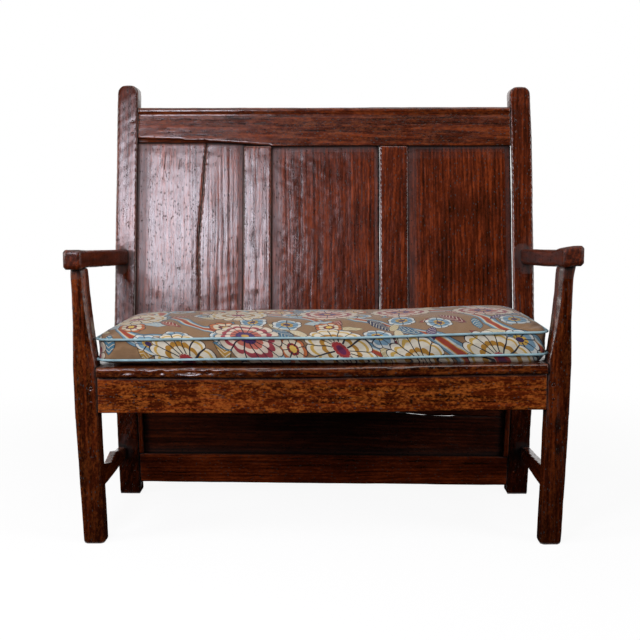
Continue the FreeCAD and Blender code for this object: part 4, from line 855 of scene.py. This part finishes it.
class SETTLE_OT_cushion(bpy.types.Operator):
    """Make the cushion: a cloth case swollen by its filling between its seams"""
    bl_idname = "settle.cushion"
    bl_label = "Cushion"

    def execute(self, context):
        settings = context.scene.settle_cushion
        piece = merged_copy("cushion_pad", "linen_cushion")
        grid = piece.modifiers.new("grid", "REMESH")
        grid.mode = "VOXEL"
        grid.voxel_size = settings.voxel
        round_off = piece.modifiers.new("round", "SMOOTH")
        round_off.iterations = 4
        piece.data = evaluated_mesh(piece)
        piece.modifiers.clear()
        start = numbers(piece.data, "co")
        low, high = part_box("cushion_piping")
        pad_low, pad_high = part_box("cushion_pad")
        seams = [low.z + settings.piping, high.z - settings.piping]
        inside = np.minimum.reduce([
            start[:, 0] - pad_low.x, pad_high.x - start[:, 0],
            start[:, 1] - pad_low.y, pad_high.y - start[:, 1]])
        near_seam = np.minimum(abs(start[:, 2] - seams[0]), abs(start[:, 2] - seams[1]))
        held = (near_seam < 0.006) & (inside < 0.05)
        held |= start[:, 2] < pad_low.z + 0.004
        group = piece.vertex_groups.new(name="sewn")
        group.add([int(i) for i in np.nonzero(held)[0]], 1.0, "ADD")
        cloth = piece.modifiers.new("filling", "CLOTH")
        cloth.settings.quality = 4
        cloth.settings.mass = 0.3
        cloth.settings.tension_stiffness = 12
        cloth.settings.compression_stiffness = 12
        cloth.settings.bending_stiffness = 0.4
        cloth.settings.shrink_min = -0.02
        cloth.settings.use_pressure = True
        cloth.settings.uniform_pressure_force = settings.pressure
        cloth.settings.vertex_group_mass = "sewn"
        cloth.settings.effector_weights.gravity = 0
        cloth.collision_settings.use_collision = False
        for step in range(1, CLOTH_FRAMES + 1):
            context.scene.frame_set(step)
        swollen = evaluated_mesh(piece)
        context.scene.frame_set(1)
        piece.modifiers.clear()
        moved = numbers(swollen, "co") - start
        size = np.linalg.norm(moved, axis=1, keepdims=True)
        moved *= np.minimum(1.0, settings.swell / np.maximum(size, 1e-9))
        bpy.data.meshes.remove(swollen)
        start = start + moved
        start = settle_shape(start, settings)
        start[:, 2] = np.maximum(start[:, 2], pad_low.z)
        piece.data.vertices.foreach_set("co", start.ravel())
        finer = piece.modifiers.new("finer", "SUBSURF")
        finer.levels = finer.render_levels = 1
        piece.data = evaluated_mesh(piece)
        piece.modifiers.clear()
        piece.vertex_groups.clear()
        piece.data.polygons.foreach_set("use_smooth", [True] * len(piece.data.polygons))
        dress(piece, printed_linen())
        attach(piece, "cushion")
        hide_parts("cushion_pad")
        return {"FINISHED"}


class SETTLE_OT_piping(bpy.types.Operator):
    """Make the two lengths of piping along the cushion's seams"""
    bl_idname = "settle.piping"
    bl_label = "Piping"

    def execute(self, context):
        settings = context.scene.settle_cushion
        low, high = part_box("cushion_piping")
        radius = settings.piping
        corner = 0.037
        left, right = low.x + radius, high.x - radius
        front, back = low.y + radius, high.y - radius
        path = []
        for centre_x, centre_y, first in ((right - corner, back - corner, 0),
                                          (left + corner, back - corner, 90),
                                          (left + corner, front + corner, 180),
                                          (right - corner, front + corner, 270)):
            for step in range(0, 91, CORNER_STEP):
                turn = math.radians(first + step)
                path.append((centre_x + corner * math.cos(turn),
                             centre_y + corner * math.sin(turn)))
            span = 24 if first in (0, 180) else 8
            following = {0: (left + corner, back), 90: (left, front + corner),
                         180: (right - corner, front), 270: (right, back - corner)}[first]
            here = path[-1]
            for step in range(1, span):
                share = step / span
                path.append((here[0] + (following[0] - here[0]) * share,
                             here[1] + (following[1] - here[1]) * share))
        curve = bpy.data.curves.new("piping", "CURVE")
        curve.dimensions = "3D"
        curve.bevel_depth = radius
        curve.bevel_resolution = 3
        curve.use_fill_caps = False
        curve.resolution_u = 3
        for height in (low.z + radius, high.z - radius):
            points = np.array([(x, y, height) for x, y in path])
            points = settle_shape(points, settings)
            spline = curve.splines.new("NURBS")
            spline.points.add(len(points) - 1)
            for spot, (x, y, z) in zip(spline.points, points):
                spot.co = (x, y, z, 1)
            spline.order_u = 3
            spline.use_cyclic_u = True
        line = bpy.data.objects.new("piping", curve)
        context.scene.collection.objects.link(line)
        mesh = evaluated_mesh(line)
        bpy.data.objects.remove(line)
        piece = bpy.data.objects.new("seam_piping", mesh)
        context.scene.collection.objects.link(piece)
        mesh.polygons.foreach_set("use_smooth", [True] * len(mesh.polygons))
        dress(piece, piping_cloth())
        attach(piece, "cushion")
        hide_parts("cushion_piping")
        return {"FINISHED"}


class SETTLE_OT_stage(bpy.types.Operator):
    """Make the floor, the lights and the camera"""
    bl_idname = "settle.stage"
    bl_label = "Stage"

    def execute(self, context):
        scene = context.scene
        settings = scene.settle_stage
        work = bmesh.new()
        bmesh.ops.create_grid(work, x_segments=1, y_segments=1, size=14)
        mesh = bpy.data.meshes.new("floor")
        work.to_mesh(mesh)
        work.free()
        floor = bpy.data.objects.new("floor", mesh)
        scene.collection.objects.link(floor)
        made = bpy.data.materials.new("white_paper_floor")
        made.use_nodes = True
        tree = made.node_tree
        tree.nodes.clear()
        path = add(tree, "LightPath")
        seen = add(tree, "Math", {0: path.outputs["Is Camera Ray"],
                                  1: path.outputs["Is Glossy Ray"]}, operation="MAXIMUM")
        seen = add(tree, "Math", {0: seen.outputs[0], 1: path.outputs["Is Transmission Ray"]},
                   operation="MAXIMUM")
        tone = add(tree, "Mix", {"Factor": seen.outputs[0]}, data_type="RGBA",
                   in_6=linear("#5A5A5A"), in_7=(1, 1, 1, 1))
        lit = add(tree, "BsdfDiffuse", {"Color": tone.outputs[2]})
        white = add(tree, "Emission", in_Color=(1, 1, 1, 1), in_Strength=1.0)
        # the paper fades to plain white away from the bench, so that no horizon shows
        away = add(tree, "VectorMath", {0: add(tree, "TexCoord").outputs["Object"]},
                   operation="LENGTH")
        fade = add(tree, "MapRange", {"Value": away.outputs["Value"]}, in_1=0.9, in_2=2.2,
                   in_3=0.92, in_4=1.0)
        share = add(tree, "Math", {0: seen.outputs[0], 1: fade.outputs[0]},
                    operation="MULTIPLY")
        mixed = add(tree, "MixShader", {0: share.outputs[0], 1: lit.outputs[0],
                                        2: white.outputs[0]})
        out = add(tree, "OutputMaterial")
        tree.links.new(mixed.outputs[0], out.inputs["Surface"])
        mesh.materials.append(made)

        world = bpy.data.worlds.new("studio")
        scene.world = world
        world.use_nodes = True
        tree = world.node_tree
        tree.nodes.clear()
        path = add(tree, "LightPath")
        seen = add(tree, "Math", {0: path.outputs["Is Camera Ray"],
                                  1: path.outputs["Is Glossy Ray"]}, operation="MAXIMUM")
        seen = add(tree, "Math", {0: seen.outputs[0], 1: path.outputs["Is Transmission Ray"]},
                   operation="MAXIMUM")
        level = add(tree, "MapRange", {"Value": seen.outputs[0]}, in_1=0.0, in_2=1.0, in_3=0.14,
                    in_4=1.0)
        sky = add(tree, "Background", {"Strength": level.outputs[0]}, in_Color=(1, 1, 1, 1))
        out = add(tree, "OutputWorld")
        tree.links.new(sky.outputs[0], out.inputs["Surface"])

        # black felt behind the camera and on the floor, against glare on wax: it is hidden from the
        # camera and casts no shadow, so that it shows in reflections only
        work = bmesh.new()
        for turn, centre in ((math.pi / 2, (0, -5.2, 4.0)), (0, (0, -3.65, 0.004))):
            bmesh.ops.create_grid(work, x_segments=1, y_segments=1, size=4,
                                  matrix=Matrix.Translation(centre)
                                  @ Matrix.Rotation(turn, 4, "X") @ Matrix.Scale(2, 4, (1, 0, 0)))
        mesh = bpy.data.meshes.new("black_felt")
        work.to_mesh(mesh)
        work.free()
        card = bpy.data.objects.new("black_felt", mesh)
        scene.collection.objects.link(card)
        card.visible_camera = card.visible_diffuse = card.visible_shadow = False
        made, tree, shader = new_material("black_felt")
        shader.inputs["Base Color"].default_value = linear("#141414")
        shader.inputs["Roughness"].default_value = 1.0
        shader.inputs["Specular IOR Level"].default_value = 0.0
        mesh.materials.append(made)

        for name, place, aim, width, height, power, tint in (
                ("window", (-0.88, -2.3, 1.74), (-0.45, 0.2, 0.85), 0.60, 0.80,
                 settings.window_power, (0.95, 0.88, 1.0)),
                ("left", (-2.9, -1.5, 1.5), (-0.2, 0, 0.5), 1.2, 1.4,
                 settings.side_power, (1, 1, 1)),
                ("right", (3.0, -1.9, 1.6), (0.2, 0, 0.5), 1.2, 1.4,
                 settings.side_power * 0.8, (1, 1, 1)),
                ("overhead", (0.1, -1.1, 3.0), (0.0, 0.1, 0.6), 2.2, 1.2,
                 settings.fill_power, (1, 1, 1))):
            lamp = bpy.data.lights.new(name, "AREA")
            lamp.shape = "RECTANGLE"
            lamp.size, lamp.size_y = width, height
            lamp.energy = power
            lamp.color = tint
            holder = bpy.data.objects.new(name, lamp)
            scene.collection.objects.link(holder)
            holder.location = place
            holder.rotation_euler = (Vector(aim) - Vector(place)).to_track_quat(
                "-Z", "Y").to_euler()

        lens = bpy.data.cameras.new("camera")
        lens.sensor_fit = "HORIZONTAL"
        lens.sensor_width = 36
        lens.lens = settings.lens
        lens.clip_end = 100
        camera = bpy.data.objects.new("camera", lens)
        scene.collection.objects.link(camera)
        forward = Vector((-math.sin(settings.yaw) * math.cos(settings.pitch),
                          math.cos(settings.yaw) * math.cos(settings.pitch),
                          -math.sin(settings.pitch)))
        across = Vector((math.cos(settings.yaw), math.sin(settings.yaw), 0))
        upward = across.cross(forward)
        rolled = math.cos(settings.roll) * across - math.sin(settings.roll) * upward
        upward = math.sin(settings.roll) * across + math.cos(settings.roll) * upward
        turn = Matrix((rolled, upward, -forward)).transposed().to_4x4()
        camera.matrix_world = Matrix.Translation(settings.camera) @ turn
        scene.camera = camera
        scene.view_settings.view_transform = "Standard"
        return {"FINISHED"}


class SETTLE_PT_panel(bpy.types.Panel):
    """The bench's steps and settings"""
    bl_label = "Settle bench"
    bl_idname = "SETTLE_PT_panel"
    bl_space_type = "VIEW_3D"
    bl_region_type = "UI"
    bl_category = "Settle bench"

    def draw(self, context):
        layout = self.layout
        for operator in STEPS:
            layout.operator(operator.bl_idname)
        for name in ("settle_oak", "settle_cushion", "settle_stage"):
            settings = getattr(context.scene, name)
            box = layout.box()
            for key in settings.__annotations__:
                box.prop(settings, key)


STEPS = (SETTLE_OT_posts, SETTLE_OT_arms, SETTLE_OT_seat, SETTLE_OT_back, SETTLE_OT_pegs,
         SETTLE_OT_cushion, SETTLE_OT_piping, SETTLE_OT_stage)
SETTINGS = (("settle_oak", OakSettings), ("settle_cushion", CushionSettings),
            ("settle_stage", StageSettings))


def register():
    for name, group in SETTINGS:
        bpy.utils.register_class(group)
        setattr(bpy.types.Scene, name, bpy.props.PointerProperty(type=group))
    for step in STEPS + (SETTLE_PT_panel,):
        bpy.utils.register_class(step)


def unregister():
    for step in reversed(STEPS + (SETTLE_PT_panel,)):
        bpy.utils.unregister_class(step)
    for name, group in reversed(SETTINGS):
        delattr(bpy.types.Scene, name)
        bpy.utils.unregister_class(group)


def main():
    register()
    for step in STEPS:
        family, name = step.bl_idname.split(".")
        getattr(getattr(bpy.ops, family), name)()


if __name__ == "__main__":
    main()
